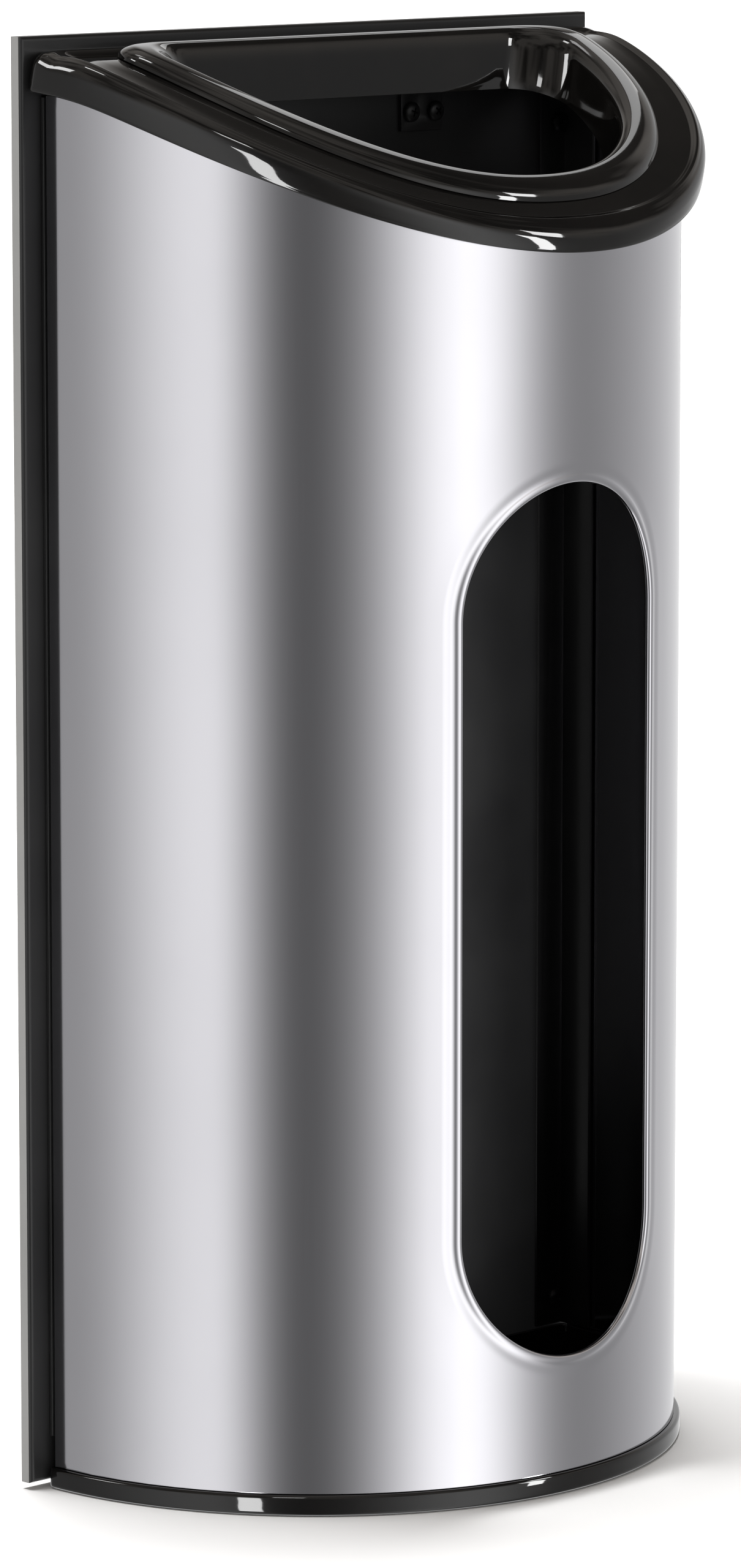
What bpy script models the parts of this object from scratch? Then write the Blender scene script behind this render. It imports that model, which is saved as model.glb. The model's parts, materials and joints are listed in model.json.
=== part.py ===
"""Wall-mounted half-round litter and ash bin, in metres, +Z up.

The wall is the plane y = 0 and the bin stands out from it towards -Y. x = 0 is its plane of symmetry.
Heights are measured from the underside of the base tray; at the end an empty lowers the whole bin, so that
the world's origin is the middle of the upper wall bar's rear face, where the bin hangs on its wall. A folded
plate is screwed to the wall. It carries the stainless half-cylinder, the base tray, the seats of the bag
ring and the hinge of the sloping cover.
"""

import math

import bmesh
import bpy
from mathutils import Matrix, Vector

# ---------------------------------------------------------------- driving dimensions
GAP = 0.0003  # clearance between pieces that touch

SHELL_RADIUS = 0.150
SHELL_WALL = 0.0012
CENTRE_Y = -0.008  # axis of the half-cylinder, in front of the wall
SHELL_BOTTOM = 0.0085

PLATE_WIDTH = 0.321
PLATE_BOTTOM = 0.0025
PLATE_TOP = 0.5912
PLATE_DEPTH = 0.006
PLATE_SHEET = 0.0012
PLATE_BEND = 0.002

WINDOW_WIDTH = 0.107
WINDOW_BOTTOM = 0.0565
WINDOW_TOP = 0.4135

BACK_Y = -PLATE_DEPTH - 2 * GAP  # rear face of the pieces that stand against the plate

ANGLE_SHEET = 0.0015
ANGLE_FOOT = (0.131, 0.1505)  # the foot's inner and outer edges on the plate, in x
ANGLE_LEG = 0.018
ANGLE_BOTTOM = 0.0212
ANGLE_TOP = 0.5670

HINGE_X = 0.060
HINGE_Y = -0.0106
HINGE_Z = 0.5815
BRACKET_SHEET = 0.0018
BRACKET_BOTTOM = 0.545
PIN_RADIUS = 0.002
PIN_LENGTH = 0.046
KNUCKLE_RADIUS = 0.0037
KNUCKLE_LENGTH = 0.024

BAG_RING_RADIUS = 0.128
BAG_RING_WIRE = 0.002
BAG_RING_Z = 0.487
BAG_RING_BACK = -0.0266
HOOK_X = 0.085
HOOK_SHEET = 0.0015
HOOK_WIDTH = 0.012
HOOK_ARM = 0.0245
FRONT_HOOK_ANGLE = math.radians(52)  # round the shell from the middle of its front

BAR_HALF_LENGTH = 0.125
BAR_HALF_WIDTH = 0.015
WALL_SCREW_X = 0.060
WALL_SCREW_Z = (0.060, 0.520)
ANGLE_SCREW_X = 0.1415
ANGLE_SCREW_Z = (0.033, 0.445, 0.545)
BRACKET_SCREW_Z = 0.553
BRACKET_SCREW_OFFSET = 0.007
HOOK_SCREW_Z = 0.468
BASE_SCREW_X = 0.080
BASE_SCREW_Z = 0.0145
COLLAR_SCREW_ANGLES = (-80, -48, -16, 16, 48, 80)  # degrees round the collar
WASHER_THICKNESS = 0.0015
WALL_HOLE_RADIUS = 0.0035
SCREW_HOLE_RADIUS = 0.0024
PILOT_RADIUS = 0.0017

SHELL_STEPS = 64  # facets round the half-cylinder
SHELL_END = math.acos(0.0009 / SHELL_RADIUS)  # its edges stop short of the plate
TRIM_STEPS = range(5, SHELL_STEPS - 4)  # facet lines that the edge trim spans
FRONT_STEPS = 48  # segments round the front of an outline
CORNER_STEPS = 5
BACK_STEPS = 6


# ---------------------------------------------------------------- scene helpers
def clear_scene():
    for old in list(bpy.data.objects):
        bpy.data.objects.remove(old, do_unlink=True)


def new_collection(name):
    made = bpy.data.collections.new(name)
    bpy.context.scene.collection.children.link(made)
    return made


def make_material(name, colour, roughness, metallic):
    made = bpy.data.materials.new(name)
    made.use_nodes = True
    shader = made.node_tree.nodes["Principled BSDF"]
    shader.inputs["Base Color"].default_value = (*colour, 1.0)
    shader.inputs["Roughness"].default_value = roughness
    shader.inputs["Metallic"].default_value = metallic
    return made


def add_object(name, mesh, finish=None, matrix=None):
    made = bpy.data.objects.new(name, mesh)
    PARTS.objects.link(made)
    if finish:
        made.data.materials.clear()
        made.data.materials.append(finish)
    if matrix:
        made.matrix_world = matrix
    return made


def mesh_from(form, name, smooth=True):
    bmesh.ops.recalc_face_normals(form, faces=form.faces)
    mesh = bpy.data.meshes.new(name)
    form.to_mesh(mesh)
    form.free()
    if smooth:
        mesh.shade_smooth()
        mesh.set_sharp_from_angle(angle=math.radians(35))
    return mesh


def add_box(name, low, high, finish=None):
    """A box from its lowest to its highest corner."""
    form = bmesh.new()
    bmesh.ops.create_cube(form, size=1.0)
    size = [b - a for a, b in zip(low, high)]
    centre = [(a + b) / 2 for a, b in zip(low, high)]
    bmesh.ops.scale(form, vec=size, verts=form.verts)
    bmesh.ops.translate(form, vec=centre, verts=form.verts)
    return add_object(name, mesh_from(form, name, smooth=False), finish)


def make_cutter(obj):
    """Hides a helper and moves it to the cutters' collection."""
    PARTS.objects.unlink(obj)
    CUTTERS.objects.link(obj)
    obj.hide_render = True
    obj.display_type = "WIRE"
    return obj


def apply_boolean(obj, other, operation="DIFFERENCE", solver="EXACT"):
    change = obj.modifiers.new(other.name, "BOOLEAN")
    change.operation = operation
    change.solver = solver
    change.object = make_cutter(other)


def bores(name, points, direction, radius, length, segments=16):
    """Cylinders centred on the points, along direction, as one cutter."""
    form = bmesh.new()
    turn = Vector(direction).to_track_quat("Z", "Y").to_matrix().to_4x4()
    for point in points:
        bmesh.ops.create_cone(
            form, cap_ends=True, segments=segments, radius1=radius, radius2=radius, depth=length,
            matrix=Matrix.Translation(point) @ turn,
        )
    return add_object(name, mesh_from(form, name, smooth=False))


def turned_mesh(name, profile, steps=16):
    """The mesh that a profile in the XZ plane, from top to bottom, makes when turned about Z."""
    form = bmesh.new()
    points = [form.verts.new((x, 0.0, z)) for x, z in profile]
    for first, second in zip(points, points[1:]):
        form.edges.new((first, second))
    mesh = bpy.data.meshes.new(name + "_profile")
    form.to_mesh(mesh)
    form.free()
    source = add_object(name + "_profile", mesh)
    turn = source.modifiers.new("turn", "SCREW")
    turn.steps = steps
    turn.render_steps = steps
    turn.use_merge_vertices = True
    turn.merge_threshold = 0.00001
    graph = bpy.context.evaluated_depsgraph_get()
    made = bpy.data.meshes.new_from_object(source.evaluated_get(graph))
    bpy.data.objects.remove(source, do_unlink=True)
    made.name = name
    made.shade_smooth()
    made.set_sharp_from_angle(angle=math.radians(35))
    return made


def extruded_outline(name, outline, thickness):
    """A flat closed outline in the local XY plane, as thick as given along Z, as a mesh."""
    curve = bpy.data.curves.new(name, "CURVE")
    curve.dimensions = "2D"
    curve.fill_mode = "BOTH"
    curve.extrude = thickness / 2
    spline = curve.splines.new("POLY")
    spline.points.add(len(outline) - 1)
    for point, (x, y) in zip(spline.points, outline):
        point.co = (x, y, 0.0, 1.0)
    spline.use_cyclic_u = True
    source = add_object(name + "_curve", curve)
    graph = bpy.context.evaluated_depsgraph_get()
    made = bpy.data.meshes.new_from_object(source.evaluated_get(graph))
    bpy.data.objects.remove(source, do_unlink=True)
    form = bmesh.new()
    form.from_mesh(made)
    bmesh.ops.remove_doubles(form, verts=form.verts, dist=0.000001)
    return mesh_from(form, name, smooth=False)


# ---------------------------------------------------------------- the bin's own curves
def soft_minimum(first, second, softness):
    """The lower of two heights, with the corner between them rounded."""
    low = min(first, second)
    return low - softness * math.log1p(math.exp(-abs(first - second) / softness))


def lip_height(y):
    """Height of the cover's lower edge: level at the wall, then falling ever more steeply."""
    out = y - CENTRE_Y
    slope = 0.5756 + 0.2999 * out - 0.8827 * out * out
    return soft_minimum(slope, 0.5698 + 0.04 * out, 0.003)


def top_height(y):
    """Height of the cover's upper surface."""
    out = y - CENTRE_Y
    slope = 0.5893 + 0.2534 * out - 1.3667 * out * out
    return soft_minimum(slope, 0.5836 + 0.02 * out, 0.0012)


def top_normal(y):
    step = 0.0005
    rise = (top_height(y + step) - top_height(y - step)) / (2 * step)
    return Vector((0.0, -rise, 1.0)).normalized()


def shell_top(y):
    """The shell runs up inside the cover, but stays below the cover's hinge rail at the wall."""
    return min(lip_height(y) + 0.0036, 0.5676)


def cover_height(share, rise=0.0, rear_rise=0.0):
    """A height that lies this share of the way from the lip to the top, plus a rise, as a function of y."""

    def height(y):
        near = min(max((y + 0.020) / 0.008, 0.0), 1.0)
        between = lip_height(y) + share * (top_height(y) - lip_height(y))
        return between + rise + rear_rise * near * near * (3 - 2 * near)

    return height


def signed_power(value, power):
    return math.copysign(abs(value) ** power, value)


def d_outline(half_width, depth, power, back, corner):
    """Points of a D: a superelliptic front about the shell's axis, a straight back and round rear corners."""
    a = half_width - corner
    b = depth - corner
    limit = back - corner
    share = min(max((CENTRE_Y - limit) / b, 0.0), 1.0)
    end = math.acos(share ** (power / 2))
    front = []
    for step in range(FRONT_STEPS + 1):
        angle = end * (2 * step / FRONT_STEPS - 1)
        x = a * signed_power(math.sin(angle), 2 / power)
        reach = b * math.cos(angle) ** (2 / power)
        normal = Vector((
            signed_power(x / a, power - 1) / a,
            -((reach / b) ** (power - 1)) / b,
        )).normalized()
        front.append((x + corner * normal.x, CENTRE_Y - reach + corner * normal.y))
    last = math.atan2(normal.y, normal.x)
    right = []
    for step in range(1, CORNER_STEPS + 1):
        angle = last + (math.pi / 2 - last) * step / CORNER_STEPS
        right.append((x + corner * math.cos(angle), limit + corner * math.sin(angle)))
    span = right[-1][0]
    rear = [(span * (1 - 2 * step / BACK_STEPS), back) for step in range(1, BACK_STEPS)]
    left = [(-px, py) for px, py in reversed(right)]
    return front + right + rear + left


def d_loop(half_width, depth, power, back, corner, height):
    return [Vector((x, y, height(y))) for x, y in d_outline(half_width, depth, power, back, corner)]


def level(height):
    return lambda y: height


def loft(name, loops, finish, closed=True):
    """Joins loops of equally many points. Closed, the last joins the first; otherwise both ends are capped."""
    form = bmesh.new()
    rows = [[form.verts.new(point) for point in loop] for loop in loops]
    pairs = list(zip(rows, rows[1:]))
    if closed:
        pairs.append((rows[-1], rows[0]))
    for lower, upper in pairs:
        for step in range(len(lower)):
            after = (step + 1) % len(lower)
            form.faces.new((lower[step], lower[after], upper[after], upper[step]))
    if not closed:
        form.faces.new(reversed(rows[0]))
        form.faces.new(rows[-1])
    return add_object(name, mesh_from(form, name), finish)


def shell_point(angle, radius, height):
    """A point on the half-cylinder; angle 0 is the middle of the front."""
    return Vector((radius * math.sin(angle), CENTRE_Y - radius * math.cos(angle), height))


def shell_angle(step):
    """Angle of one of the half-cylinder's facet lines, from 0 at its left edge to SHELL_STEPS at its right."""
    return SHELL_END * (2 * step / SHELL_STEPS - 1)


# ---------------------------------------------------------------- fasteners
def pan_head_mesh():
    """Pan-headed screw, its seat at z = 0 and its shank downwards."""
    profile = [(0.0, 0.0027), (0.0018, 0.0026), (0.0034, 0.0020), (0.0042, 0.0008), (0.0042, 0.0),
               (0.002, 0.0), (0.002, -0.0048), (0.0, -0.0056)]
    return turned_mesh("pan_head_screw", profile)


def small_screw_mesh():
    profile = [(0.0, 0.0020), (0.0014, 0.0019), (0.0026, 0.0013), (0.0030, 0.0), (0.0014, 0.0),
               (0.0014, -0.0050), (0.0, -0.0054)]
    return turned_mesh("small_screw", profile, steps=12)


def washer_mesh():
    inner, outer, chamfer = 0.0034, 0.0090, 0.0005
    top = WASHER_THICKNESS
    profile = [(inner, top), (outer - chamfer, top), (outer, top - chamfer), (outer, 0.0), (inner, 0.0),
               (inner, top)]
    return turned_mesh("washer", profile, steps=20)


def wall_screw(name, point):
    """Hexagon-headed screw through the washer, plate and bar, cut off at the wall."""
    form = bmesh.new()
    head, head_radius, shank_radius = 0.004, 0.0058, 0.003
    sunk = 0.001  # how far the shank runs into the head
    shank = -point.y - GAP + sunk
    bmesh.ops.create_cone(form, cap_ends=True, segments=6, radius1=head_radius, radius2=head_radius,
                          depth=head, matrix=Matrix.Translation((0, 0, head / 2)))
    made = add_object(name, mesh_from(form, name, smooth=False), STEEL, facing(point, (0, -1, 0)))
    middle = point + Vector((0, shank / 2 - sunk, 0))
    body = bores(name + "_shank", [middle], (0, 1, 0), shank_radius, shank)
    apply_boolean(made, body, "UNION")
    return made


def facing(point, direction):
    """Places a fastener's seat at the point, with its head towards direction."""
    return Matrix.Translation(point) @ Vector(direction).to_track_quat("Z", "Y").to_matrix().to_4x4()


# ---------------------------------------------------------------- wall plate and what it carries
def plate_screw_points():
    """Where the pan-headed screws pass through the plate, by the piece that they hold."""
    return {
        "angle": [(side * ANGLE_SCREW_X, 0.0, z) for side in (-1, 1) for z in ANGLE_SCREW_Z],
        "hinge": [(side * HINGE_X + offset, 0.0, BRACKET_SCREW_Z)
                  for side in (-1, 1) for offset in (-BRACKET_SCREW_OFFSET, BRACKET_SCREW_OFFSET)],
        "hook": [(side * HOOK_X, 0.0, HOOK_SCREW_Z) for side in (-1, 1)],
        "base": [(side * BASE_SCREW_X, 0.0, BASE_SCREW_Z) for side in (-1, 1)],
    }


def build_wall_plate():
    half = PLATE_WIDTH / 2
    plate = add_box("wall_plate", (-half, -PLATE_DEPTH, PLATE_BOTTOM), (half, 0.0, PLATE_TOP), PAINT)
    bend = plate.modifiers.new("bends", "BEVEL")
    bend.width = PLATE_BEND
    bend.segments = 3
    bend.limit_method = "WEIGHT"
    weights = plate.data.attributes.new("bevel_weight_edge", "FLOAT", "EDGE")
    for edge in plate.data.edges:
        ends = [plate.data.vertices[index].co for index in edge.vertices]
        weights.data[edge.index].value = float(all(end.y < -PLATE_DEPTH / 2 for end in ends))
    inner = half - PLATE_SHEET
    apply_boolean(plate, add_box(
        "plate_hollow", (-inner, -PLATE_DEPTH + PLATE_SHEET, PLATE_BOTTOM + PLATE_SHEET),
        (inner, 0.010, PLATE_TOP - PLATE_SHEET)))
    walls = [(x, -PLATE_DEPTH, z) for x in (-WALL_SCREW_X, WALL_SCREW_X) for z in WALL_SCREW_Z]
    apply_boolean(plate, bores("wall_holes", walls, (0, 1, 0), WALL_HOLE_RADIUS, 0.010))
    screws = [Vector(point) + Vector((0, -PLATE_DEPTH, 0))
              for group in plate_screw_points().values() for point in group]
    apply_boolean(plate, bores("plate_screw_holes", screws, (0, 1, 0), SCREW_HOLE_RADIUS, 0.010))


def build_wall_bars():
    """Flat bars between the folded plate and the wall, which the wall screws pass through."""
    for name, z in zip(("lower_wall_bar", "upper_wall_bar"), WALL_SCREW_Z):
        front = -PLATE_DEPTH + PLATE_SHEET + GAP
        bar = add_box(name, (-BAR_HALF_LENGTH, front, z - BAR_HALF_WIDTH),
                      (BAR_HALF_LENGTH, 0.0, z + BAR_HALF_WIDTH), STEEL)
        points = [(x, 0.0, z) for x in (-WALL_SCREW_X, WALL_SCREW_X)]
        apply_boolean(bar, bores(name + "_holes", points, (0, 1, 0), WALL_HOLE_RADIUS, 0.020))


def build_wall_screws():
    washer = washer_mesh()
    for index, (x, z) in enumerate((x, z) for z in WALL_SCREW_Z for x in (-WALL_SCREW_X, WALL_SCREW_X)):
        seat = Vector((x, -PLATE_DEPTH - GAP, z))
        add_object(f"wall_washer_{index + 1}", washer, STEEL, facing(seat, (0, -1, 0)))
        wall_screw(f"wall_screw_{index + 1}", seat + Vector((0, -WASHER_THICKNESS - GAP, 0)))


def build_shell_angles():
    """Folded angles down both sides, screwed to the plate; the shell is welded to their inner legs."""
    foot_inner, foot_outer = ANGLE_FOOT
    leg_outer = SHELL_RADIUS - SHELL_WALL - 0.0016  # clears the shell where it curves in, at the leg's end
    leg_inner = leg_outer - ANGLE_SHEET
    back = BACK_Y + GAP
    front = back - ANGLE_SHEET
    tip = back - ANGLE_LEG
    outline = [(foot_outer, back), (foot_inner, back), (foot_inner, front), (leg_inner, front),
               (leg_inner, tip), (leg_outer, tip), (leg_outer, front), (foot_outer, front)]
    place = Matrix.Translation((0, 0, (ANGLE_BOTTOM + ANGLE_TOP) / 2))
    for side, word in ((-1, "left"), (1, "right")):
        mirrored = [(side * x, y) for x, y in outline]
        mesh = extruded_outline(f"{word}_shell_angle", mirrored, ANGLE_TOP - ANGLE_BOTTOM)
        angle = add_object(f"{word}_shell_angle", mesh, PAINT, place)
        points = [Vector((side * ANGLE_SCREW_X, back, z)) for z in ANGLE_SCREW_Z]
        holes = bores(f"{word}_angle_holes", points, (0, 1, 0), SCREW_HOLE_RADIUS, 0.010)
        apply_boolean(angle, holes, solver="MANIFOLD")
        for index, point in enumerate(points):
            seat = point + Vector((0, -ANGLE_SHEET - GAP, 0))
            add_object(f"{word}_angle_screw_{index + 1}", PAN_HEAD, STEEL, facing(seat, (0, -1, 0)))


def build_body_shell():
    """Stainless half-cylinder with a tall window, open above and below."""
    form = bmesh.new()
    rows = []
    for step in range(SHELL_STEPS + 1):
        angle = shell_angle(step)
        row = []
        for radius in (SHELL_RADIUS, SHELL_RADIUS - SHELL_WALL):
            low = shell_point(angle, radius, SHELL_BOTTOM)
            outer = shell_point(angle, SHELL_RADIUS, 0.0)
            row.append(form.verts.new(low))
            row.append(form.verts.new((low.x, low.y, shell_top(outer.y))))
        rows.append(row)
    for first, second in zip(rows, rows[1:]):
        for a, b in ((0, 1), (1, 3), (3, 2), (2, 0)):
            form.faces.new((first[a], second[a], second[b], first[b]))
    form.faces.new([rows[0][index] for index in (0, 1, 3, 2)])
    form.faces.new([rows[-1][index] for index in (2, 3, 1, 0)])
    shell = add_object("body_shell", mesh_from(form, "body_shell"), STAINLESS)

    radius = WINDOW_WIDTH / 2
    steps = 24
    arc = [math.pi * step / steps for step in range(steps + 1)]
    outline = [(radius * math.cos(a), WINDOW_TOP - radius + radius * math.sin(a)) for a in arc]
    outline += [(-radius * math.cos(a), WINDOW_BOTTOM + radius - radius * math.sin(a)) for a in arc]
    cutter = extruded_outline("window", outline, 0.060)
    place = Matrix.Translation((0, CENTRE_Y - SHELL_RADIUS, 0)) @ Matrix.Rotation(math.pi / 2, 4, "X")
    apply_boolean(shell, add_object("window", cutter, None, place))


def build_edge_trim():
    """Rubber channel pushed over the shell's upper edge, to cover the raw steel."""
    lip, leg = 0.0008, 0.0030  # wall of the channel, and how far it reaches down
    inner = SHELL_RADIUS - SHELL_WALL
    section = [  # radius and height above the shell's edge
        (SHELL_RADIUS + GAP, -leg), (SHELL_RADIUS + GAP + lip, -leg),
        (SHELL_RADIUS + GAP + lip, 2 * lip), (inner - GAP - lip, 2 * lip),
        (inner - GAP - lip, -leg), (inner - GAP, -leg), (inner - GAP, GAP), (SHELL_RADIUS + GAP, GAP),
    ]
    form = bmesh.new()
    rows = []
    for step in TRIM_STEPS:
        angle = shell_angle(step)
        edge = shell_top(shell_point(angle, SHELL_RADIUS, 0.0).y)
        rows.append([form.verts.new(shell_point(angle, radius, edge + rise)) for radius, rise in section])
    for first, second in zip(rows, rows[1:]):
        for index in range(len(section)):
            after = (index + 1) % len(section)
            form.faces.new((first[index], first[after], second[after], second[index]))
    form.faces.new(rows[0])
    form.faces.new(reversed(rows[-1]))
    add_object("edge_trim", mesh_from(form, "edge_trim"), RUBBER)


def build_base_tray():
    """Moulded tray: a ledge for the shell, an upstand inside it and a dished floor with drain holes."""
    sections = [  # radius, set-back of its rear, rear corner radius, height
        (0.1514, 0.0010, 0.0030, 0.0),  # underside
        (0.1523, 0.0002, 0.0032, 0.0006),
        (0.1526, 0.0, 0.0035, 0.0016),  # foot of the rim
        (0.1526, 0.0, 0.0035, 0.0068),
        (0.1522, 0.0002, 0.0032, 0.0078),
        (0.1514, 0.0006, 0.0030, 0.0082),  # ledge under the shell
        (0.1483, 0.0008, 0.0028, 0.0082),
        (0.1483, 0.0008, 0.0028, 0.0205),  # top of the upstand
        (0.1463, 0.0030, 0.0026, 0.0205),
        (0.1450, 0.0035, 0.0030, 0.0060),
        (0.1410, 0.0070, 0.0060, 0.0040),  # floor
    ]
    tray = loft("base_tray", [
        d_loop(radius, radius, 2.0, BACK_Y - set_back, corner, level(height))
        for radius, set_back, corner, height in sections
    ], GLOSS, closed=False)
    drain_radius = 0.004
    drains = [(0.0, -0.110, 0.0), (-0.070, -0.060, 0.0), (0.070, -0.060, 0.0)]
    apply_boolean(tray, bores("drain_holes", drains, (0, 0, 1), drain_radius, 0.020))
    points = [Vector((side * BASE_SCREW_X, BACK_Y, BASE_SCREW_Z)) for side in (-1, 1)]
    apply_boolean(tray, bores("base_screw_holes", points, (0, 1, 0), SCREW_HOLE_RADIUS, 0.012))
    upstand_front = 0.0033  # from the tray's rear to the upstand's front, at the screws
    for word, point in zip(("left", "right"), points):
        seat = point + Vector((0, -upstand_front - GAP, 0))
        add_object(f"base_screw_{word}", PAN_HEAD, STEEL, facing(seat, (0, -1, 0)))


# ---------------------------------------------------------------- bag ring and its seats
def hook_mesh():
    """Strip that stands on its back face (local y = 0) and holds the wire in a seat; local x is up."""
    foot, head = -0.027, 0.012  # ends of the upright strip
    thick, arm = HOOK_SHEET, HOOK_ARM
    seat = -BAG_RING_WIRE - GAP
    lip = seat + 0.006
    outline = [(foot, 0.0), (head, 0.0), (head, -thick), (seat, -thick), (seat, -arm), (lip, -arm),
               (lip, -arm - thick), (seat - thick, -arm - thick), (seat - thick, -thick), (foot, -thick)]
    return extruded_outline("ring_hook", outline, HOOK_WIDTH)


def hook_matrix(back, outward):
    """Stands a hook on its back face at the point, its arm towards outward."""
    away = Vector(outward).normalized()
    up = Vector((0, 0, 1))
    turn = Matrix((up, -away, up.cross(-away))).transposed().to_4x4()
    return Matrix.Translation(back) @ turn


def build_bag_ring():
    corner = 0.030
    outline = d_outline(BAG_RING_RADIUS, BAG_RING_RADIUS, 2.0, BAG_RING_BACK, corner)
    curve = bpy.data.curves.new("bag_ring", "CURVE")
    curve.dimensions = "3D"
    curve.bevel_depth = BAG_RING_WIRE
    curve.bevel_resolution = 2
    spline = curve.splines.new("POLY")
    spline.points.add(len(outline) - 1)
    for point, (x, y) in zip(spline.points, outline):
        point.co = (x, y, BAG_RING_Z, 1.0)
    spline.use_cyclic_u = True
    add_object("bag_ring", curve, WIRE)


def build_ring_hooks():
    hook = hook_mesh()
    for side, word in ((-1, "left"), (1, "right")):
        back = Vector((side * HOOK_X, BACK_Y + GAP, BAG_RING_Z))
        rear = add_object(f"rear_ring_hook_{word}", hook.copy(), STEEL, hook_matrix(back, (0, -1, 0)))
        point = Vector((side * HOOK_X, BACK_Y, HOOK_SCREW_Z))
        hole = bores(f"hook_hole_{word}", [point], (0, 1, 0), SCREW_HOLE_RADIUS, 0.010)
        apply_boolean(rear, hole, solver="MANIFOLD")
        seat = point + Vector((0, -HOOK_SHEET, 0))
        add_object(f"hook_screw_{word}", PAN_HEAD, STEEL, facing(seat, (0, -1, 0)))
        angle = side * FRONT_HOOK_ANGLE
        wall = shell_point(angle, SHELL_RADIUS - SHELL_WALL - 2 * GAP, BAG_RING_Z)
        inward = (-math.sin(angle), math.cos(angle), 0)
        add_object(f"front_ring_hook_{word}", hook.copy(), STEEL, hook_matrix(wall, inward))


# ---------------------------------------------------------------- cover, its collar and hinge
def build_top_cover():
    """Hollow moulding: overhanging fascia, rounded shoulder, sloping top and a hinge rail along the wall."""
    sections = [  # half width, depth, power, set-back of its rear, rear corner radius, height
        (0.1517, 0.1517, 2.00, 0.0008, 0.002, cover_height(0.0, 0.0006)),  # lip beside the shell
        (0.1574, 0.1574, 2.00, 0.0008, 0.003, cover_height(0.0)),
        (0.1585, 0.1585, 2.00, 0.0001, 0.0035, cover_height(0.0, 0.0006)),
        (0.1588, 0.1588, 2.00, 0.0, 0.004, cover_height(0.0, 0.0018)),  # foot of the fascia
        (0.1587, 0.1588, 2.02, 0.0, 0.005, cover_height(0.35)),
        (0.1580, 0.1583, 2.06, 0.0, 0.006, cover_height(0.65, 0.0, 0.0020)),
        (0.1565, 0.1571, 2.10, 0.0005, 0.007, cover_height(0.86, 0.0, 0.0020)),
        (0.1540, 0.1549, 2.15, 0.0018, 0.008, cover_height(0.98, 0.0, 0.0018)),  # rounded shoulder
        (0.1515, 0.1524, 2.20, 0.0038, 0.009, cover_height(1.0, 0.0006, 0.0013)),
        (0.1498, 0.1507, 2.20, 0.0072, 0.010, cover_height(1.0, 0.0, 0.0006)),
        (0.1480, 0.1491, 2.20, 0.0084, 0.011, cover_height(1.0, -0.0006)),  # bottom of the groove
        (0.1185, 0.1310, 2.20, 0.0145, 0.016, cover_height(1.0, -0.0006)),  # edge of the hole
        (0.1185, 0.1310, 2.20, 0.0145, 0.016, cover_height(1.0, -0.0032)),
        (0.1490, 0.1498, 2.20, 0.0110, 0.012, cover_height(1.0, -0.0034)),  # inside, back down to the lip
        (0.1535, 0.1540, 2.10, 0.0105, 0.010, cover_height(0.80)),
        (0.1555, 0.1558, 2.02, 0.0100, 0.009, cover_height(0.45)),
        (0.1555, 0.1555, 2.00, 0.0095, 0.006, cover_height(0.0, 0.0030)),
        (0.1517, 0.1517, 2.00, 0.0090, 0.006, cover_height(0.0, 0.0026)),
    ]
    cover = loft("top_cover", [
        d_loop(half_width, depth, power, BACK_Y - set_back, corner, height)
        for half_width, depth, power, set_back, corner, height in sections
    ], GLOSS)
    notch_half = KNUCKLE_LENGTH / 2 + 0.001
    notch_front = HINGE_Y - 0.0064
    for side, word in ((-1, "left"), (1, "right")):
        x = side * HINGE_X
        apply_boolean(cover, add_box(
            f"hinge_notch_{word}", (x - notch_half, notch_front, HINGE_Z - 0.0215),
            (x + notch_half, 0.002, HINGE_Z + 0.0185)))
        apply_boolean(cover, bores(
            f"pin_hole_{word}", [(x, HINGE_Y, HINGE_Z)], (1, 0, 0), PIN_RADIUS + GAP,
            PIN_LENGTH + 0.002))
    apply_boolean(cover, collar_screw_bores("cover_screw_holes"))
    return cover


def collar_screw_places():
    """Points on the cover's top surface where the collar's screws stand, and the surface's normal there."""
    half_width, depth, power = 0.1250, 0.1370, 2.2
    places = []
    for degrees in COLLAR_SCREW_ANGLES:
        angle = math.radians(degrees)
        x = half_width * signed_power(math.sin(angle), 2 / power)
        y = CENTRE_Y - depth * math.cos(angle) ** (2 / power)
        places.append((Vector((x, y, top_height(y))), top_normal(y)))
    return places


def collar_screw_bores(name):
    """Bores along the surface's normal, through the cover and part of the way into the collar."""
    form = bmesh.new()
    low, high = -0.012, 0.0026
    for point, normal in collar_screw_places():
        turn = normal.to_track_quat("Z", "Y").to_matrix().to_4x4()
        bmesh.ops.create_cone(
            form, cap_ends=True, segments=12, radius1=PILOT_RADIUS, radius2=PILOT_RADIUS,
            depth=high - low, matrix=Matrix.Translation(point + normal * (low + high) / 2) @ turn)
    return add_object(name, mesh_from(form, name, smooth=False))


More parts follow.
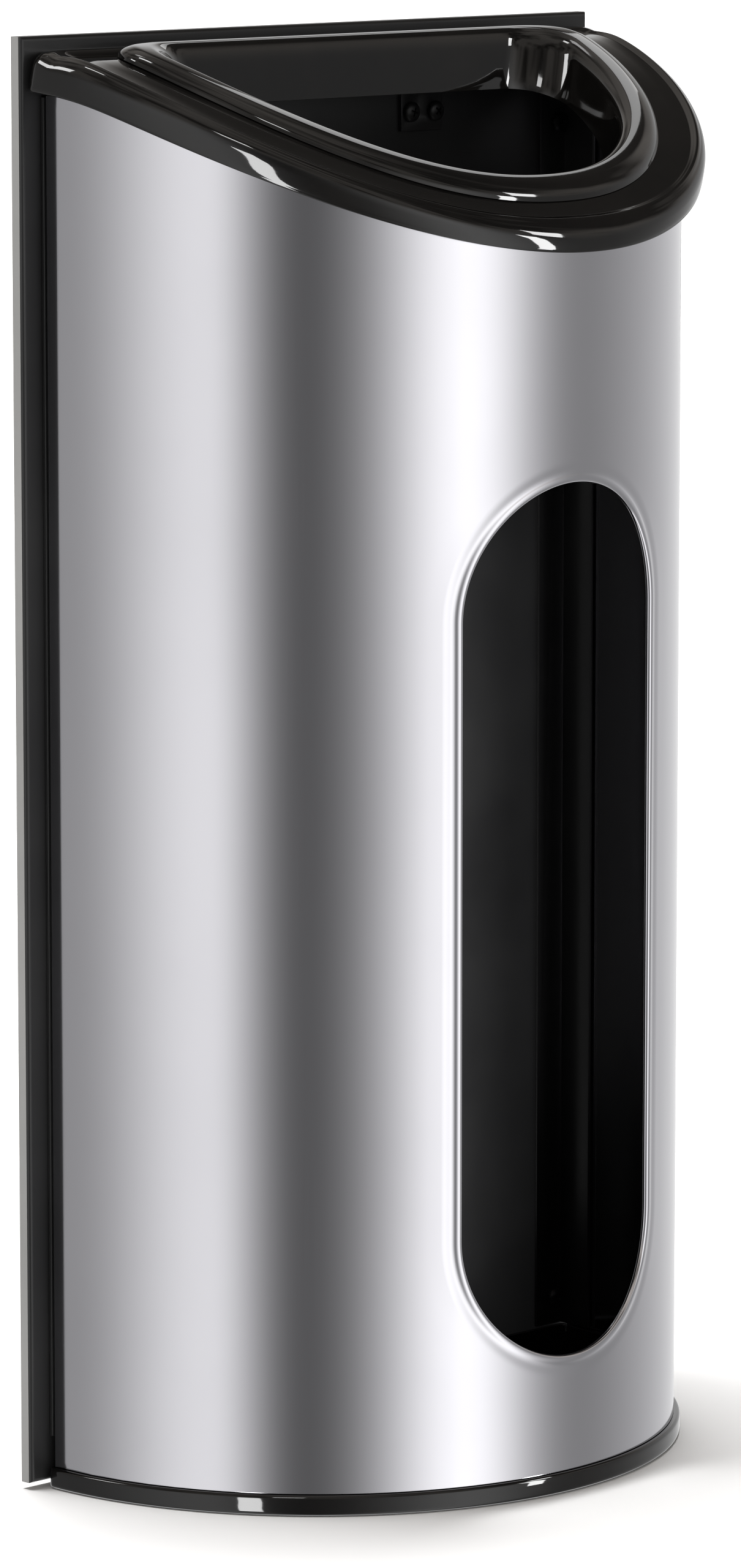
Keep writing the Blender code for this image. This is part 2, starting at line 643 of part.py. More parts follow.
def build_throat_collar():
    """Raised rim round the opening, whose inner wall runs down into the bin as a short throat."""
    sections = [  # half width, depth, rear, rear corner radius, rise above the cover
        (0.1306, 0.1417, -0.0154, 0.020, -0.0002),  # foot of the rim
        (0.1300, 0.1412, -0.0157, 0.020, 0.0016),
        (0.1278, 0.1393, -0.0168, 0.020, 0.0034),
        (0.1235, 0.1360, -0.0190, 0.019, 0.0044),  # crest
        (0.1190, 0.1330, -0.0220, 0.018, 0.0042),
        (0.1155, 0.1302, -0.0246, 0.018, 0.0026),
        (0.1132, 0.1280, -0.0264, 0.018, -0.0006),
        (0.1118, 0.1265, -0.0276, 0.018, -0.0050),
        (0.1075, 0.1215, -0.0300, 0.018, -0.0200),  # lower end of the throat
        (0.1097, 0.1237, -0.0280, 0.018, -0.0204),
        (0.1138, 0.1286, -0.0256, 0.018, -0.0055),
        (0.1155, 0.1300, -0.0245, 0.018, -0.0002),  # seat on the cover, inside its hole
    ]
    collar = loft("throat_collar", [
        d_loop(half_width, depth, 2.2, rear, corner, cover_height(1.0, rise))
        for half_width, depth, rear, corner, rise in sections
    ], GLOSS)
    apply_boolean(collar, collar_screw_bores("collar_screw_holes"))
    cover_underside = 0.0032
    for index, (point, normal) in enumerate(collar_screw_places()):
        seat = point - normal * (cover_underside + 2 * GAP)
        add_object(f"collar_screw_{index + 1}", SMALL_SCREW, STEEL, facing(seat, -normal))


def build_hinge():
    """Two brackets screwed to the plate, each with a knuckle and a pin that runs into the cover's rail."""
    half = KNUCKLE_LENGTH / 2
    back = BACK_Y + GAP
    front = back - BRACKET_SHEET
    for side, word in ((-1, "left"), (1, "right")):
        x = side * HINGE_X
        centre = Vector((x, HINGE_Y, HINGE_Z))
        bracket = add_box(f"hinge_bracket_{word}", (x - half, front, BRACKET_BOTTOM),
                          (x + half, back, HINGE_Z), PAINT)
        knuckle = bores(f"knuckle_{word}", [centre], (1, 0, 0), KNUCKLE_RADIUS, KNUCKLE_LENGTH, segments=24)
        apply_boolean(bracket, knuckle, "UNION")
        bore = bores(f"knuckle_bore_{word}", [centre], (1, 0, 0), PIN_RADIUS + GAP, 0.040)
        apply_boolean(bracket, bore)
        points = [Vector((x + offset, back, BRACKET_SCREW_Z))
                  for offset in (-BRACKET_SCREW_OFFSET, BRACKET_SCREW_OFFSET)]
        apply_boolean(bracket, bores(f"bracket_holes_{word}", points, (0, 1, 0),
                                     SCREW_HOLE_RADIUS, 0.010))
        for index, point in enumerate(points):
            seat = point + Vector((0, -BRACKET_SHEET - GAP, 0))
            add_object(f"hinge_screw_{word}_{index + 1}", PAN_HEAD, STEEL, facing(seat, (0, -1, 0)))
        pin = bores(f"hinge_pin_{word}", [(0, 0, 0)], (1, 0, 0), PIN_RADIUS, PIN_LENGTH, segments=20)
        pin.location = centre
        pin.data.materials.append(STEEL)


# ---------------------------------------------------------------- assembly
clear_scene()
PARTS = new_collection("wall_litter_and_ash_bin")
CUTTERS = new_collection("cutters")

PAINT = make_material("black_paint", (0.012, 0.012, 0.013), 0.42, 0.0)
GLOSS = make_material("gloss_black_plastic", (0.010, 0.010, 0.011), 0.12, 0.0)
STAINLESS = make_material("polished_stainless", (0.66, 0.66, 0.67), 0.12, 1.0)
STEEL = make_material("zinc_plated_steel", (0.55, 0.56, 0.57), 0.35, 1.0)
WIRE = make_material("nickel_wire", (0.60, 0.60, 0.60), 0.25, 1.0)
RUBBER = make_material("black_rubber", (0.02, 0.02, 0.02), 0.75, 0.0)

PAN_HEAD = pan_head_mesh()
SMALL_SCREW = small_screw_mesh()

build_wall_plate()
build_wall_bars()
build_wall_screws()
build_shell_angles()
build_body_shell()
build_edge_trim()
build_base_tray()
build_bag_ring()
build_ring_hooks()
build_hinge()
build_throat_collar()

# The cover turns about its hinge pins, so its origin lies on their axis.
top_cover = build_top_cover()
axis_point = Vector((0.0, HINGE_Y, HINGE_Z))
top_cover.data.transform(Matrix.Translation(-axis_point))
top_cover.location = axis_point

wall_face = bpy.data.objects.new("wall_face", None)
wall_face.location = (0.0, 0.0, -WALL_SCREW_Z[1])
pieces = list(PARTS.objects) + list(CUTTERS.objects)
PARTS.objects.link(wall_face)
for piece in pieces:
    piece.parent = wall_face
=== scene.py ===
"""Looks of the wall-mounted half-round ash bin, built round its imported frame.

The frame has its origin on the wall plane at the upper fixing bar. +Z is up and -Y points out of the wall.
Heights below are measured from the underside of the base tray, which stands at BASE_Z.
"""

import json
import math

import bmesh
import bpy
import numpy as np
from mathutils import Matrix, Quaternion, Vector

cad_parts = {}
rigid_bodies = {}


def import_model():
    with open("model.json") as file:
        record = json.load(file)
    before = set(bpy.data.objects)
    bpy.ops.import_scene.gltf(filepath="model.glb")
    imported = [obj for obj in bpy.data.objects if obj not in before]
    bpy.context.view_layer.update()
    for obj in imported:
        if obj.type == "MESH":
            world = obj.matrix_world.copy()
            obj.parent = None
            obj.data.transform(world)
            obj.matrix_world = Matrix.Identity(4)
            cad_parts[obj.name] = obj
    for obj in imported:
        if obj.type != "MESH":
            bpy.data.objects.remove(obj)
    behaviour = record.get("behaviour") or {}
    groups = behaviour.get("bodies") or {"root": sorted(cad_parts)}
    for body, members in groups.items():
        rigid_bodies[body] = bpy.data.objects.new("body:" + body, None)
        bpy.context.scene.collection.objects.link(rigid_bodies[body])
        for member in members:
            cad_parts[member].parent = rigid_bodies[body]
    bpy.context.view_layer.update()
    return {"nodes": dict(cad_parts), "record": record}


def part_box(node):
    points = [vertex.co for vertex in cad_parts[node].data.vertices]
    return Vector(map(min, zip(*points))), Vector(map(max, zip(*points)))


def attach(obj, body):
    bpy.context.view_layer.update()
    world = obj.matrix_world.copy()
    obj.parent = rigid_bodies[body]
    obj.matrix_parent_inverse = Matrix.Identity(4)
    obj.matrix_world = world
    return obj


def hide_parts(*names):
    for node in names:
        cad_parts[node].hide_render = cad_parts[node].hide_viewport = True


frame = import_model()
RECORD = frame["record"]
BODY_OF = {node: body for body, nodes in RECORD["behaviour"]["bodies"].items() for node in nodes}
SLOT_OF = {row["node"]: row["material_slot"] for row in RECORD["subparts"]}

# ---------------------------------------------------------------- sizes, in metres
BASE_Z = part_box("base_tray")[0].z
SHELL_LOW, SHELL_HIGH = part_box("body_shell")
RADIUS = (SHELL_HIGH.x - SHELL_LOW.x) / 2  # of the half-cylinder
CENTRE_Y = SHELL_LOW.y + RADIUS
WALL = 0.0012  # sheet thickness of the shell
SHELL_FOOT = SHELL_LOW.z - BASE_Z
SHELL_HEAD = SHELL_HIGH.z - BASE_Z
PLATE_LOW, PLATE_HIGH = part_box("wall_plate")
BACK_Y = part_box("top_cover")[1].y  # rear face of what stands against the plate
WINDOW_HALF = 0.0535
WINDOW_FOOT = 0.0565
WINDOW_HEAD = 0.4135
HINGE_LOW, HINGE_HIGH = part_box("hinge_pin_right")
HINGE_Y = (HINGE_LOW.y + HINGE_HIGH.y) / 2
HINGE_Z = (HINGE_LOW.z + HINGE_HIGH.z) / 2
HINGE_X = (HINGE_LOW.x + HINGE_HIGH.x) / 2
PIN_RADIUS = (HINGE_HIGH.z - HINGE_LOW.z) / 2


# ---------------------------------------------------------------- shader helpers
class Shader:
    """A material's node tree, with short calls for the nodes that the finishes share."""

    def __init__(self, name):
        self.material = bpy.data.materials.new(name)
        self.material.use_nodes = True
        self.tree = self.material.node_tree
        self.surface = self.tree.nodes["Principled BSDF"]
        self.place = self.tree.nodes.new("ShaderNodeTexCoord").outputs["Object"]

    def link(self, source, target):
        self.tree.links.new(source, target)

    def set(self, **values):
        for name, value in values.items():
            self.surface.inputs[name.replace("_", " ")].default_value = value

    def stretched(self, scale):
        node = self.tree.nodes.new("ShaderNodeMapping")
        node.inputs["Scale"].default_value = scale
        self.link(self.place, node.inputs["Vector"])
        return node.outputs["Vector"]

    def noise(self, scale, detail=3.0, rough=0.5, stretch=None):
        node = self.tree.nodes.new("ShaderNodeTexNoise")
        node.inputs["Scale"].default_value = scale
        node.inputs["Detail"].default_value = detail
        node.inputs["Roughness"].default_value = rough
        self.link(self.stretched(stretch) if stretch else self.place, node.inputs["Vector"])
        return node.outputs["Fac"]

    def cells(self, scale, output="Color"):
        node = self.tree.nodes.new("ShaderNodeTexVoronoi")
        node.inputs["Scale"].default_value = scale
        self.link(self.place, node.inputs["Vector"])
        return node.outputs[output]

    def ramp(self, source, low, high, bottom=0.0, top=1.0):
        node = self.tree.nodes.new("ShaderNodeMapRange")
        node.inputs["From Min"].default_value = low
        node.inputs["From Max"].default_value = high
        node.inputs["To Min"].default_value = bottom
        node.inputs["To Max"].default_value = top
        self.link(source, node.inputs["Value"])
        return node.outputs["Result"]

    def mix(self, share, first, second):
        """Mixes two colours by a share between 0 and 1."""
        node = self.tree.nodes.new("ShaderNodeMix")
        node.data_type = "RGBA"
        self.link(share, node.inputs["Factor"])
        for colour, socket in ((first, node.inputs["A"]), (second, node.inputs["B"])):
            if isinstance(colour, tuple):
                socket.default_value = (*colour, 1.0)
            else:
                self.link(colour, socket)
        return node.outputs["Result"]

    def add(self, first, second, operation="ADD"):
        node = self.tree.nodes.new("ShaderNodeMath")
        node.operation = operation
        for value, socket in ((first, node.inputs[0]), (second, node.inputs[1])):
            if isinstance(value, float):
                socket.default_value = value
            else:
                self.link(value, socket)
        return node.outputs["Value"]

    def bump(self, height, strength, distance):
        node = self.tree.nodes.new("ShaderNodeBump")
        node.inputs["Strength"].default_value = strength
        node.inputs["Distance"].default_value = distance
        self.link(height, node.inputs["Height"])
        self.link(node.outputs["Normal"], self.surface.inputs["Normal"])

    def colour(self, source):
        self.link(source, self.surface.inputs["Base Color"])

    def roughness(self, source):
        self.link(source, self.surface.inputs["Roughness"])


# ---------------------------------------------------------------- finishes
def polished_steel():
    """Bright stainless sheet: faint vertical draw lines from the mill and a few wiped smears."""
    s = Shader("polished_stainless")
    s.set(Metallic=1.0)
    lines = s.noise(1.0, detail=4.0, stretch=(2600.0, 2600.0, 14.0))
    smears = s.noise(9.0, detail=5.0, rough=0.6)
    s.colour(s.mix(s.ramp(smears, 0.35, 0.7), (0.662, 0.655, 0.686), (0.640, 0.633, 0.664)))
    s.roughness(s.add(s.ramp(lines, 0.3, 0.7, 0.085, 0.115), s.ramp(smears, 0.4, 0.75, 0.0, 0.022)))
    s.bump(lines, 0.05, 0.00002)
    return s.material


def gloss_plastic():
    """Black moulded plastic: deep gloss, slight orange peel, a trace of wiping haze."""
    s = Shader("gloss_black_plastic")
    s.set(IOR=1.5)
    peel = s.noise(260.0, detail=2.0)
    haze = s.noise(14.0, detail=6.0, rough=0.62)
    s.colour(s.mix(s.ramp(haze, 0.4, 0.7), (0.0026, 0.0024, 0.0023), (0.0052, 0.0047, 0.0042)))
    s.roughness(s.ramp(haze, 0.35, 0.75, 0.035, 0.070))
    s.bump(peel, 0.05, 0.00006)
    return s.material


def satin_paint(name, dark, light, smooth):
    """Powder coat: a fine even grain, with slightly uneven gloss."""
    s = Shader(name)
    grain = s.noise(1500.0, detail=2.0)
    cloud = s.noise(11.0, detail=5.0)
    s.colour(s.mix(s.ramp(cloud, 0.35, 0.68), dark, light))
    s.roughness(s.ramp(cloud, 0.3, 0.7, smooth, smooth + 0.08))
    s.bump(grain, 0.16, 0.00008)
    return s.material


def zinc_steel():
    """Zinc-plated fasteners and strips: bluish bright zinc with cloudy passivation."""
    s = Shader("zinc_plated_steel")
    s.set(Metallic=1.0)
    cloud = s.noise(70.0, detail=4.0)
    grain = s.cells(420.0)
    tint = s.mix(s.ramp(cloud, 0.35, 0.65), (0.50, 0.53, 0.57), (0.62, 0.60, 0.54))
    s.colour(s.mix(s.ramp(grain, 0.0, 1.0, 0.0, 0.3), tint, (0.40, 0.42, 0.45)))
    s.roughness(s.ramp(cloud, 0.3, 0.7, 0.24, 0.38))
    s.bump(cloud, 0.10, 0.00005)
    return s.material


def black_zinc():
    """Black-passivated zinc for the screws that can be seen through the window and the throat."""
    s = Shader("black_zinc")
    s.set(Metallic=0.6)
    cloud = s.noise(160.0, detail=4.0)
    s.colour(s.mix(s.ramp(cloud, 0.35, 0.65), (0.010, 0.010, 0.011), (0.018, 0.018, 0.017)))
    s.roughness(s.ramp(cloud, 0.3, 0.7, 0.34, 0.48))
    s.bump(s.noise(1100.0, detail=2.0), 0.10, 0.00004)
    return s.material


def nickel_wire():
    """Bright nickel over drawn wire."""
    s = Shader("nickel_wire")
    s.set(Metallic=1.0)
    cloud = s.noise(55.0, detail=4.0)
    s.colour(s.mix(s.ramp(cloud, 0.35, 0.65), (0.62, 0.60, 0.56), (0.55, 0.54, 0.52)))
    s.roughness(s.ramp(cloud, 0.3, 0.7, 0.16, 0.30))
    s.bump(s.noise(900.0, detail=2.0), 0.08, 0.00004)
    return s.material


def black_rubber():
    """Extruded rubber: matt, finely pitted, slightly greyed."""
    s = Shader("black_rubber")
    bloom = s.noise(40.0, detail=5.0)
    s.colour(s.mix(s.ramp(bloom, 0.35, 0.7), (0.016, 0.016, 0.016), (0.036, 0.035, 0.034)))
    s.roughness(s.ramp(bloom, 0.3, 0.7, 0.62, 0.80))
    s.bump(s.noise(1800.0, detail=3.0), 0.25, 0.00010)
    return s.material


STEEL = polished_steel()
GLOSS = gloss_plastic()
PAINT = satin_paint("black_paint", (0.0085, 0.0085, 0.0088), (0.014, 0.014, 0.0142), 0.30)
# A darker, matter copy of the black paint for the shell's inner face: painted shade for the dark inside of
# the bin.
SHADE_INSIDE_PAINT = satin_paint("black_inside", (0.0035, 0.0035, 0.0036), (0.006, 0.006, 0.006), 0.55)
# A light grey copy of the black paint for the plate's side flanges: painted sheen standing in for the light
# those sides reflect.
EDGE = satin_paint("grey_flange", (0.30, 0.30, 0.295), (0.34, 0.34, 0.335), 0.42)
ZINC = zinc_steel()
BLACK_ZINC = black_zinc()
NICKEL = nickel_wire()
RUBBER = black_rubber()
FINISH = {
    "gloss_black_plastic": GLOSS,
    "polished_stainless": STEEL,
    "black_paint": PAINT,
    "zinc_plated_steel": ZINC,
    "nickel_wire": NICKEL,
    "black_rubber": RUBBER,
}


# ---------------------------------------------------------------- mesh helpers
def as_object(name, mesh, *finishes):
    made = bpy.data.objects.new(name, mesh)
    bpy.context.scene.collection.objects.link(made)
    if finishes:
        mesh.materials.clear()
        for finish in finishes:
            mesh.materials.append(finish)
    return made


def shade(mesh, degrees=32.0):
    mesh.shade_smooth()
    mesh.set_sharp_from_angle(angle=math.radians(degrees))


def stands_for(piece, node):
    """The piece takes over a CAD node: it joins the node's body and the node is hidden."""
    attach(piece, BODY_OF[node])
    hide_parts(node)
    return piece


def grid_mesh(name, loops, closed):
    """A mesh from loops of equally many points.

    Closed joins the last loop to the first. Otherwise both end loops are capped.
    """
    count = len(loops[0])
    points = [tuple(point) for loop in loops for point in loop]
    rows = len(loops)
    faces = []
    for row in range(rows if closed else rows - 1):
        low, high = row * count, (row + 1) % rows * count
        for step in range(count):
            after = (step + 1) % count
            faces.append((low + step, low + after, high + after, high + step))
    if not closed:
        faces.append(tuple(range(count - 1, -1, -1)))
        faces.append(tuple(range((rows - 1) * count, rows * count)))
    mesh = bpy.data.meshes.new(name)
    mesh.from_pydata(points, [], faces)
    form = bmesh.new()
    form.from_mesh(mesh)
    bmesh.ops.recalc_face_normals(form, faces=form.faces)
    form.to_mesh(mesh)
    form.free()
    shade(mesh)
    return mesh


def evaluated(obj):
    """Replaces an object's mesh by what its modifiers make of it."""
    graph = bpy.context.evaluated_depsgraph_get()
    mesh = bpy.data.meshes.new_from_object(obj.evaluated_get(graph))
    obj.modifiers.clear()
    obj.data = mesh
    return obj


def cut(obj, *cutters, operation="DIFFERENCE"):
    """Applies Booleans with the cutters, which are removed."""
    for cutter in cutters:
        change = obj.modifiers.new(cutter.name, "BOOLEAN")
        change.operation = operation
        change.object = cutter
    evaluated(obj)
    for cutter in cutters:
        bpy.data.objects.remove(cutter, do_unlink=True)
    shade(obj.data)
    return obj


def rod(name, centre, direction, radius, length, steps=32):
    form = bmesh.new()
    turn = Vector(direction).to_track_quat("Z", "Y").to_matrix().to_4x4()
    bmesh.ops.create_cone(form, cap_ends=True, segments=steps, radius1=radius, radius2=radius,
                          depth=length, matrix=Matrix.Translation(centre) @ turn)
    mesh = bpy.data.meshes.new(name)
    form.to_mesh(mesh)
    form.free()
    return as_object(name, mesh)


def block(name, low, high):
    form = bmesh.new()
    bmesh.ops.create_cube(form, size=1.0)
    bmesh.ops.scale(form, vec=[b - a for a, b in zip(low, high)], verts=form.verts)
    bmesh.ops.translate(form, vec=[(a + b) / 2 for a, b in zip(low, high)], verts=form.verts)
    mesh = bpy.data.meshes.new(name)
    form.to_mesh(mesh)
    form.free()
    return as_object(name, mesh)


def lathe(name, profile, steps=48):
    """A mesh turned about Z from a profile of radius and height; points at radius 0 close it."""
    form = bmesh.new()
    rings = []
    for radius, height in profile:
        if radius == 0.0:
            rings.append([form.verts.new((0.0, 0.0, height))] * steps)
            continue
        turns = [2 * math.pi * step / steps for step in range(steps)]
        rings.append([form.verts.new((radius * math.cos(a), radius * math.sin(a), height)) for a in turns])
    pairs = list(zip(rings, rings[1:]))
    if profile[0][0] > 0.0:
        pairs.append((rings[-1], rings[0]))
    for upper, lower in pairs:
        for step in range(steps):
            after = (step + 1) % steps
            corners = [upper[step], lower[step], lower[after], upper[after]]
            unique = [v for index, v in enumerate(corners) if v not in corners[:index]]
            form.faces.new(unique)
    bmesh.ops.recalc_face_normals(form, faces=form.faces)
    mesh = bpy.data.meshes.new(name)
    form.to_mesh(mesh)
    form.free()
    shade(mesh)
    return mesh


def bevelled(obj, width, segments=3, degrees=30.0):
    """Rounds every edge sharper than the angle."""
    change = obj.modifiers.new("round", "BEVEL")
    change.width = width
    change.segments = segments
    change.limit_method = "ANGLE"
    change.angle_limit = math.radians(degrees)
    change.harden_normals = False
    evaluated(obj)
    shade(obj.data, 40.0)
    return obj


def refined(node, width, segments=3):
    """A copy of a CAD node with its flat faces rejoined and its edges rounded."""
    mesh = frame["nodes"][node].data.copy()
    form = bmesh.new()
    form.from_mesh(mesh)
    bmesh.ops.remove_doubles(form, verts=form.verts, dist=0.000002)
    bmesh.ops.dissolve_limit(form, angle_limit=math.radians(1.0), verts=form.verts, edges=form.edges)
    form.to_mesh(mesh)
    form.free()
    made = as_object(node + "_piece", mesh, FINISH[SLOT_OF[node]])
    return stands_for(bevelled(made, width, segments), node)


def smooth_sections(sections, substeps):
    """Monotone cubic curves through a table of sections, as a finer table.

    The first and last columns set how far apart the sections are.
    """
    table = np.array(sections, float)
    gaps = np.hypot(np.diff(table[:, 0]), np.diff(table[:, -1]))
    knots = np.concatenate([[0.0], np.cumsum(np.maximum(gaps, 0.0002))])
    widths = np.diff(knots)[:, None]
    slopes = np.diff(table, axis=0) / widths
    product = slopes[:-1] * slopes[1:]
    inner = np.where(product > 0, 2 * product / np.where(product > 0, slopes[:-1] + slopes[1:], 1.0), 0.0)
    tangents = np.vstack([slopes[:1], inner, slopes[-1:]])
    rows = []
    for index in range(len(table) - 1):
        for step in range(substeps):
            t = step / substeps
            rows.append(
                (2 * t**3 - 3 * t**2 + 1) * table[index]
                + (t**3 - 2 * t**2 + t) * widths[index] * tangents[index]
                + (3 * t**2 - 2 * t**3) * table[index + 1]
                + (t**3 - t**2) * widths[index] * tangents[index + 1]
            )
    rows.append(table[-1])
    return rows


# ---------------------------------------------------------------- the bin's own curves
def soft_minimum(first, second, softness):
    low = min(first, second)
    return low - softness * math.log1p(math.exp(-abs(first - second) / softness))


def lip_height(y):
    """Height of the cover's lower edge: level at the wall, then falling ever more steeply."""
    out = y - CENTRE_Y
    slope = 0.5756 + 0.2999 * out - 0.8827 * out * out
    return soft_minimum(slope, 0.5698 + 0.04 * out, 0.003)


def top_height(y):
    """Height of the cover's upper surface."""
    out = y - CENTRE_Y
    slope = 0.5893 + 0.2534 * out - 1.3667 * out * out
    return soft_minimum(slope, 0.5836 + 0.02 * out, 0.0012)


def top_normal(y):
    step = 0.0005
    rise = (top_height(y + step) - top_height(y - step)) / (2 * step)
    return Vector((0.0, -rise, 1.0)).normalized()


def shell_top(y):
    return min(lip_height(y) + 0.0036, SHELL_HEAD)


def cover_height(y, share, rise, rear_rise):
    """A height this share of the way from the lip to the top, plus a rise, and more at the hinge rail."""
    near = min(max((y + 0.020) / 0.008, 0.0), 1.0)
    between = lip_height(y) + share * (top_height(y) - lip_height(y))
    return between + rise + rear_rise * near * near * (3 - 2 * near)


def signed_power(value, power):
    return math.copysign(abs(value) ** power, value)


def d_outline(half_width, depth, power, back, corner, front_steps=200, corner_steps=14, back_steps=44):
    """Points of a D: a superelliptic front about the shell's axis, a straight back and round rear corners."""
    a = half_width - corner
    b = depth - corner
    limit = back - corner
    share = min(max((CENTRE_Y - limit) / b, 0.0), 1.0)
    end = math.acos(share ** (power / 2))
    front = []
    for step in range(front_steps + 1):
        angle = end * (2 * step / front_steps - 1)
        x = a * signed_power(math.sin(angle), 2 / power)
        reach = b * math.cos(angle) ** (2 / power)
        normal = Vector((
            signed_power(x / a, power - 1) / a,
            -((reach / b) ** (power - 1)) / b,
        )).normalized()
        front.append((x + corner * normal.x, CENTRE_Y - reach + corner * normal.y))
    last = math.atan2(normal.y, normal.x)
    right = []
    for step in range(1, corner_steps + 1):
        angle = last + (math.pi / 2 - last) * step / corner_steps
        right.append((x + corner * math.cos(angle), limit + corner * math.sin(angle)))
    span = right[-1][0]
    rear = [(span * (1 - 2 * step / back_steps), back) for step in range(1, back_steps)]
    left = [(-px, py) for px, py in reversed(right)]
    return front + right + rear + left


# ---------------------------------------------------------------- steel shell
SHELL_END_GAP = 0.0009  # from the shell's rear edges to the plane through its axis
SPREAD_ROWS = 30  # rows of the sheet between the window's bead and the border
WINDOW_BEAD = [  # distance from the window's edge, and rise above the sheet's outer face
    (0.0095, 0.0), (0.0082, -0.00003), (0.0070, -0.00012), (0.0060, -0.00022), (0.0051, -0.00028),
    (0.0043, -0.00024), (0.0036, -0.00010), (0.0030, 0.00009), (0.0024, 0.00022), (0.0018, 0.00026),
    (0.0012, 0.00018), (0.0007, -0.00004), (0.0003, -0.00040), (0.0001, -0.00088), (0.0, -0.00140),
    (0.0003, -0.00205), (0.0009, -0.00245), (0.0017, -0.00250), (0.0026, -0.00220), (0.0036, -0.00160),
    (0.0050, -WALL),
]


def window_ring(steps_straight, steps_arc):
    """The window's edge on the unrolled shell: arc length and height, anticlockwise from the right foot."""
    low, high = WINDOW_FOOT + WINDOW_HALF, WINDOW_HEAD - WINDOW_HALF
    points = []
    for step in range(steps_straight):
        points.append((WINDOW_HALF, low + (high - low) * step / steps_straight))
    for step in range(steps_arc):
        angle = math.pi * step / steps_arc
        points.append((WINDOW_HALF * math.cos(angle), high + WINDOW_HALF * math.sin(angle)))
    for step in range(steps_straight):
        points.append((-WINDOW_HALF, high - (high - low) * step / steps_straight))
    for step in range(steps_arc):
        angle = math.pi * (1 + step / steps_arc)
        points.append((WINDOW_HALF * math.cos(angle), low + WINDOW_HALF * math.sin(angle)))
    return np.array([(RADIUS * math.asin(x / RADIUS), z) for x, z in points])


def shell_border(point, normal, half_length):
    """Where a line from the window's edge leaves the unrolled sheet."""
    def inside(reach):
        u, z = point + normal * reach
        y = CENTRE_Y - RADIUS * math.cos(min(abs(u) / RADIUS, math.pi / 2))
        return abs(u) <= half_length and SHELL_FOOT <= z <= shell_top(y)

    low, high = 0.0, 1.0
    for _ in range(40):
        middle = (low + high) / 2
        if inside(middle):
            low = middle
        else:
            high = middle
    return point + normal * low


def sheet_border(ring, normals):
    """The unrolled sheet's outline, point for point with the window's edge, with its four corners kept."""
    half_length = RADIUS * math.acos(SHELL_END_GAP / RADIUS)
    border = np.array([shell_border(p, n, half_length) for p, n in zip(ring, normals)])
    edge_y = CENTRE_Y - RADIUS * math.cos(half_length / RADIUS)
    for u in (-half_length, half_length):
        for z in (SHELL_FOOT, shell_top(edge_y)):
            nearest = np.argmin(np.hypot(border[:, 0] - u, border[:, 1] - z))
            border[nearest] = (u, z)
    return border


def sheet_rows(ring):
    """Rows of arc length, height and rise: the outer face, then round the bead, then the inner face."""
    along = np.roll(ring, -1, axis=0) - np.roll(ring, 1, axis=0)
    normals = np.stack([along[:, 1], -along[:, 0]], axis=1)
    normals /= np.linalg.norm(normals, axis=1)[:, None]
    border = sheet_border(ring, normals)
    bead = smooth_sections(WINDOW_BEAD, 2)
    spread = [1 - step / SPREAD_ROWS for step in range(SPREAD_ROWS)]

    def row(start, share, rise):
        near = ring + normals * start
        return [(u, z, rise) for u, z in near + (border - near) * share]

    rows = [row(bead[0][0], share, 0.0) for share in spread]
    rows += [row(distance, 0.0, rise) for distance, rise in bead]
    rows += [row(bead[-1][0], share, -WALL) for share in reversed(spread)]
    kinds = ["outer"] * len(spread) + ["bead"] * len(bead) + ["inner"] * len(spread)
    return np.array(rows), kinds


def rolled_sheet(rows):
    """Rolls the sheet about the shell's axis. Gives its points, and their normals for each kind of row."""
    total, count, _ = rows.shape
    flat = rows.reshape(total * count, 3)
    angle = flat[:, 0] / RADIUS
    reach = RADIUS + flat[:, 2]
    points = np.stack([reach * np.sin(angle), CENTRE_Y - reach * np.cos(angle), BASE_Z + flat[:, 1]], axis=1)
    radial = np.stack([np.sin(angle), -np.cos(angle), np.zeros_like(angle)], axis=1)
    shaped = points.reshape(total, count, 3)
    across = np.roll(shaped, -1, axis=0) - np.roll(shaped, 1, axis=0)
    around = np.roll(shaped, -1, axis=1) - np.roll(shaped, 1, axis=1)
    bent = np.cross(around, across).reshape(-1, 3)
    bent /= np.linalg.norm(bent, axis=1)[:, None]
    return points, {"outer": radial, "inner": -radial, "bead": bent}


def sheet_faces(points, kinds, count, normal_of):
    """Faces between the rows, a normal for each of their corners, and 1 for those that face inwards."""
    total = len(kinds)
    faces, corner_normals, slots = [], [], []
    for row in range(total):
        following = (row + 1) % total
        pair = (kinds[row], kinds[following])
        edge = pair == ("inner", "outer")
        for k in range(count):
            after = (k + 1) % count
            low, high = row * count, following * count
            corners = (low + k, high + k, high + after, low + after)
            faces.append(corners)
            # Inward faces get slot 1, the near-black painted shade.
            slots.append(int("inner" in pair and not edge))
            if edge:
                first, second, third = (points[corner] for corner in corners[:3])
                side = np.cross(second - first, third - first)
                side /= max(np.linalg.norm(side), 1e-12)
                corner_normals.extend([side] * 4)
            else:
                corner_normals.extend(normal_of[kinds[corner // count]][corner] for corner in corners)
    return faces, np.array(corner_normals), slots


def build_shell():
    """Half-cylinder of polished sheet, with a rolled bead and a pressed groove round the window."""
    ring = window_ring(70, 110)
    rows, kinds = sheet_rows(ring)
    points, normal_of = rolled_sheet(rows)
    faces, normals, slots = sheet_faces(points, kinds, len(ring), normal_of)
    mesh = bpy.data.meshes.new("steel_shell")
    mesh.from_pydata([tuple(point) for point in points], [], faces)
    mesh.polygons.foreach_set("material_index", slots)
    sample = 5
    if Vector(normals[4 * sample]).dot(mesh.polygons[sample].normal) < 0:
        mesh.flip_normals()
        normals = normals.reshape(-1, 4, 3)[:, [0, 3, 2, 1], :].reshape(-1, 3)
    mesh.shade_smooth()
    mesh.normals_split_custom_set([tuple(normal) for normal in normals])
    # The inward faces take the near-black copy of the paint: painted shade inside the bin.
    stands_for(as_object("steel_shell", mesh, STEEL, SHADE_INSIDE_PAINT), "body_shell")


